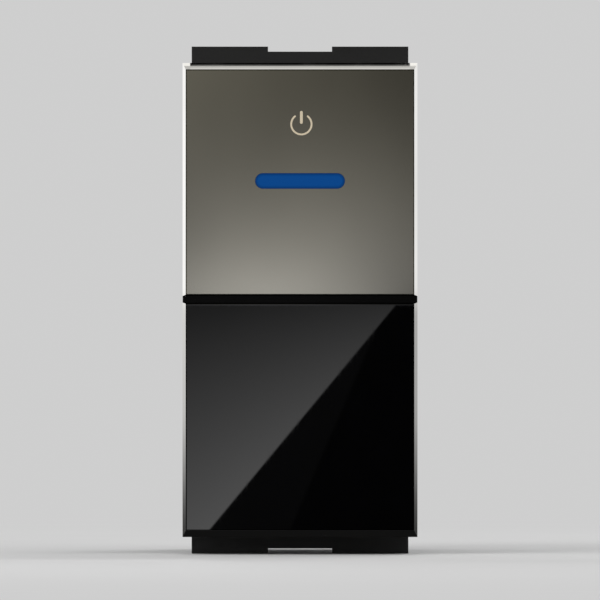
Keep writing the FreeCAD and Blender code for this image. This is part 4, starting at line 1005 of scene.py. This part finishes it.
def room(stage):
    """Even light from all round, with a pale background for the eye and for mirrors."""
    world = bpy.data.worlds.new("room")
    world.use_nodes = True
    bpy.context.scene.world = world
    sky = Pattern(world.node_tree)
    path = sky.add("ShaderNodeLightPath").outputs
    seen = sky.maths("MAXIMUM", path["Is Glossy Ray"], path["Is Transmission Ray"])
    seen = sky.maths("MAXIMUM", seen, path["Is Camera Ray"])
    background = sky.nodes["Background"]
    sky.join(background, "Color", (*WHITE, 1))
    sky.join(background, "Strength", seen.blend(stage.ambient, stage.pale))


def floor(stage, ground):
    """A pale floor that fades into the background with the distance from the object."""
    pale = Finish("pale_floor", (0.8, 0.8, 0.8), 0.7, Specular_IOR_Level=0.2)
    pale.feed(Base_Color=pale.shades(pale.noise(40), 0.985, 1.015))
    far = pale.reach(pale.axis("X"), pale.axis("Y")).soft_step(50 * MM, 220 * MM)
    back = pale.add("ShaderNodeEmission", {"Color": (*WHITE, 1), "Strength": stage.pale})
    both = {0: far, 1: pale.shader.outputs[0], 2: back.outputs[0]}
    half = 600 * MM
    sheet("floor", (-half, -half, ground), (half, half, ground),
          pale.show(pale.add("ShaderNodeMixShader", both)))


def plate_light(stage):
    """The light that the two plates mirror, with places in millimetres. Above the bar it is a
    strong bell that stands low, a faint one higher up, and a film of light that fades to the
    right. Below the bar it grows downwards as a second power of the drop, and ends on a
    slanting edge, beyond which it is nearly dark."""
    glow = Glow("front_card")
    widen = (1 + stage.card_gap / stage.distance) * MM
    x, z = (glow.axis(which) / widen for which in "XZ")
    half_width, half_height, under_bar = 14.0, 24.0, -0.5
    near_x, near_z = x.held(half_width), z.held(half_height)
    upper = near_x.grow(-0.053) * near_z.grow(0.035) * 0.07
    # Each bell has its strength, and its centre and width across and up.
    bells = (1.18, (-4.4, 11.0), (-7.2, 10.0)), (0.27, (3.6, 14.7), (5.0, 11.3))
    for strength, across, up in bells:
        upper = upper + near_x.bell(*across) * near_z.bell(*up) * strength
    drop = near_z * -1.0
    deep = drop * (drop * 0.0006 + 0.05) + 0.22
    lower = deep * (near_x.grow(0.037) * 1.6)

    def beyond(start, end, soft):
        """0 left of the straight line through two points, and 1 right of it."""
        slant = (start[0] - end[0]) / (start[1] - end[1])
        return (x - ((z - start[1]) * slant + start[0])).soft_step(-soft, soft)
    first = beyond((9.0, -0.57), (-8.6, -21.8), 0.14)
    second = beyond((6.64, -4.27), (-0.95, -21.8), 0.25)
    lower = first.blend(lower, second.blend(0.04, 0.01))
    below = z < under_bar
    warm = near_z.spread(0.0, 1.0, 0.0, 22.0).mix((1.0, 0.99, 1.05), (1.0, 0.96, 0.88))
    return glow.shine(below.blend(upper, lower), below.mix(warm, WHITE))


def side_light(name, above, under):
    """The light that one side of the bezel mirrors: even above the bar, and from there a lower
    light that fades softly to a faint rest at the foot."""
    glow = Glow(name)
    z, rest, foot = glow.axis("Z"), 0.042, -24 * MM
    fade = z.soft_step(foot, -9 * MM) * z.spread(0.6 * under, under - rest, foot, 0.0)
    return glow.shine(z.soft_step(-1.5 * MM, 1.5 * MM).blend(fade + rest, above))


def top_light(outer, inner, shoulder):
    """The light that the bevel along the top mirrors, from its outer edge to its inner one along
    Y. Before the shoulder the outer half is nearly dark, and past the shoulder's ends it is
    brighter than the inner half."""
    glow = Glow("top_card")
    share = glow.axis("Y").spread(0.0, 1.0, outer, inner)
    half = share.soft_step(0.34, 0.44)
    before = half.blend(share.spread(0.0, 0.1, 0.08, 0.4), share.spread(0.48, 0.68, 0.56, 0.87))
    past = abs(glow.axis("X")) > shoulder
    return glow.shine(past.blend(before, half.blend(0.95, 0.52)), (1.0, 0.99, 0.96, 1))


def top_card(front):
    """A sheet over the top. The view along Y, mirrored in the bevel between its two edges, meets
    it on two lines, which are where the edges lie plus the rise to the sheet times the lean."""
    top, rise, points = corner("polished_bezel", 1)[2], 3 * MM, vertices("polished_bezel")
    high = top - points[points[:, 1] < front + 0.01 * MM][:, 2].max()
    deep = points[points[:, 2] > top - 0.01 * MM][:, 1].min() - front
    lean = 1 / math.tan(2 * math.atan2(deep, high))
    outer, inner = front + deep - lean * rise, front - lean * (rise + high)
    half, height = 15 * MM, top + rise
    sheet("top_card", (-half, inner - 5 * MM, height), (half, outer + 1 * MM, height),
          top_light(outer, inner, extent("front_carrier")[0] / 2), **MIRRORED_ONLY)


def cards(stage, ground):
    """Sheets that only mirrors see: one before the plates, a dark one on the floor under the
    front's foot that is painted shade of the floor there, one over the top, and one on each side."""
    front = corner("polished_bezel", 0)[1]
    top_card(front)
    y, half = front - stage.card_gap, 45 * MM
    sheet("front_card", (-half, y, -half), (half, y, half), plate_light(stage), **MIRRORED_ONLY)
    # Painted shade: a dark sheet, seen only in mirrors, stands for the shade on the floor under
    # the front's foot.
    half, height = 16 * MM, ground + 0.01 * MM
    sheet("painted_floor_shade_card", (-half, front - 1.6 * MM, height), (half, front + 1.2 * MM, height),
          Glow("painted_floor_shade_card").shine(0.006), **MIRRORED_ONLY)
    low, high, near, far = -60 * MM, 60 * MM, -30 * MM, 80 * MM
    for side, x, above, under in (("left", low, 1.0, 0.68), ("right", high, 0.84, 0.42)):
        name = f"side_card_{side}"
        sheet(name, (x, near, low), (x, far, high), side_light(name, above, under),
              **MIRRORED_ONLY)


def lamp(name, spot, width, power):
    """A square soft lamp that looks at the origin."""
    light = bpy.data.lights.new(name, "AREA")
    light.shape = "SQUARE"
    light.size = width
    light.energy = power
    made = new_object(name, light)
    made.location = spot
    made.rotation_mode = "QUATERNION"
    made.rotation_quaternion = (-Vector(spot)).to_track_quat("-Z", "Y")
    made.visible_camera = False


def camera(stage):
    """A long lens, level with the origin, that looks straight at the front."""
    lens = bpy.data.cameras.new("camera")
    lens.sensor_width = 36.0
    lens.lens = lens.sensor_width * stage.distance / stage.field
    lens.clip_start, lens.clip_end = 0.01, 20.0
    made = new_object("camera", lens)
    made.location = (0, corner("polished_bezel", 0)[1] - stage.distance, 0)
    made.rotation_euler = (math.pi / 2, 0, 0)
    bpy.context.scene.camera = made


class SwitchStageSet(Operator):
    """Set the pale floor, the soft lamps, the cards that the gloss mirrors, and the camera."""

    bl_idname = "switch.stage"
    bl_label = "Stage"

    def execute(self, context):
        stage = context.scene.switch_stage
        context.scene.view_settings.view_transform = "Standard"
        ground = cad_box[0][2] - stage.floor_drop
        room(stage)
        floor(stage, ground)
        cards(stage, ground)
        lamp("key_lamp", (-0.35, -0.45, 0.45), 0.35, stage.key)
        lamp("fill_lamp", (0.45, -0.35, 0.15), 0.4, stage.key * 0.4)
        lamp("back_lamp", (0.3, 0.5, 0.4), 0.35, stage.key * 0.8)
        camera(stage)
        return {"FINISHED"}


# Panel and running

STEPS = (SwitchFront, SwitchMark, SwitchShells, SwitchTerminals, SwitchTouchBoard,
         SwitchPowerBoard, SwitchRelay, SwitchStageSet)
GROUPS = {"switch_sizes": SwitchSizes, "switch_colours": SwitchColours,
          "switch_stage": SwitchStage}


class SwitchPanel(Panel):
    """The steps that dress the switch, and the values they use."""

    bl_idname = "VIEW3D_PT_switch"
    bl_label = "Touch Switch"
    bl_space_type = "VIEW_3D"
    bl_region_type = "UI"
    bl_category = "Touch Switch"

    def draw(self, context):
        for step in STEPS:
            self.layout.operator(step.bl_idname)
        for word in GROUPS:
            box = self.layout.box()
            group = getattr(context.scene, word)
            for value in group.__annotations__:
                box.prop(group, value)


def register():
    for group in (*GROUPS.values(), *STEPS, SwitchPanel):
        bpy.utils.register_class(group)
    for word, group in GROUPS.items():
        setattr(bpy.types.Scene, word, PointerProperty(type=group))


def unregister():
    for word in GROUPS:
        delattr(bpy.types.Scene, word)
    for group in (SwitchPanel, *STEPS[::-1], *GROUPS.values()):
        bpy.utils.unregister_class(group)


def main():
    register()
    for step in STEPS:
        family, word = step.bl_idname.split(".")
        getattr(getattr(bpy.ops, family), word)()


if __name__ == "__main__":
    main()
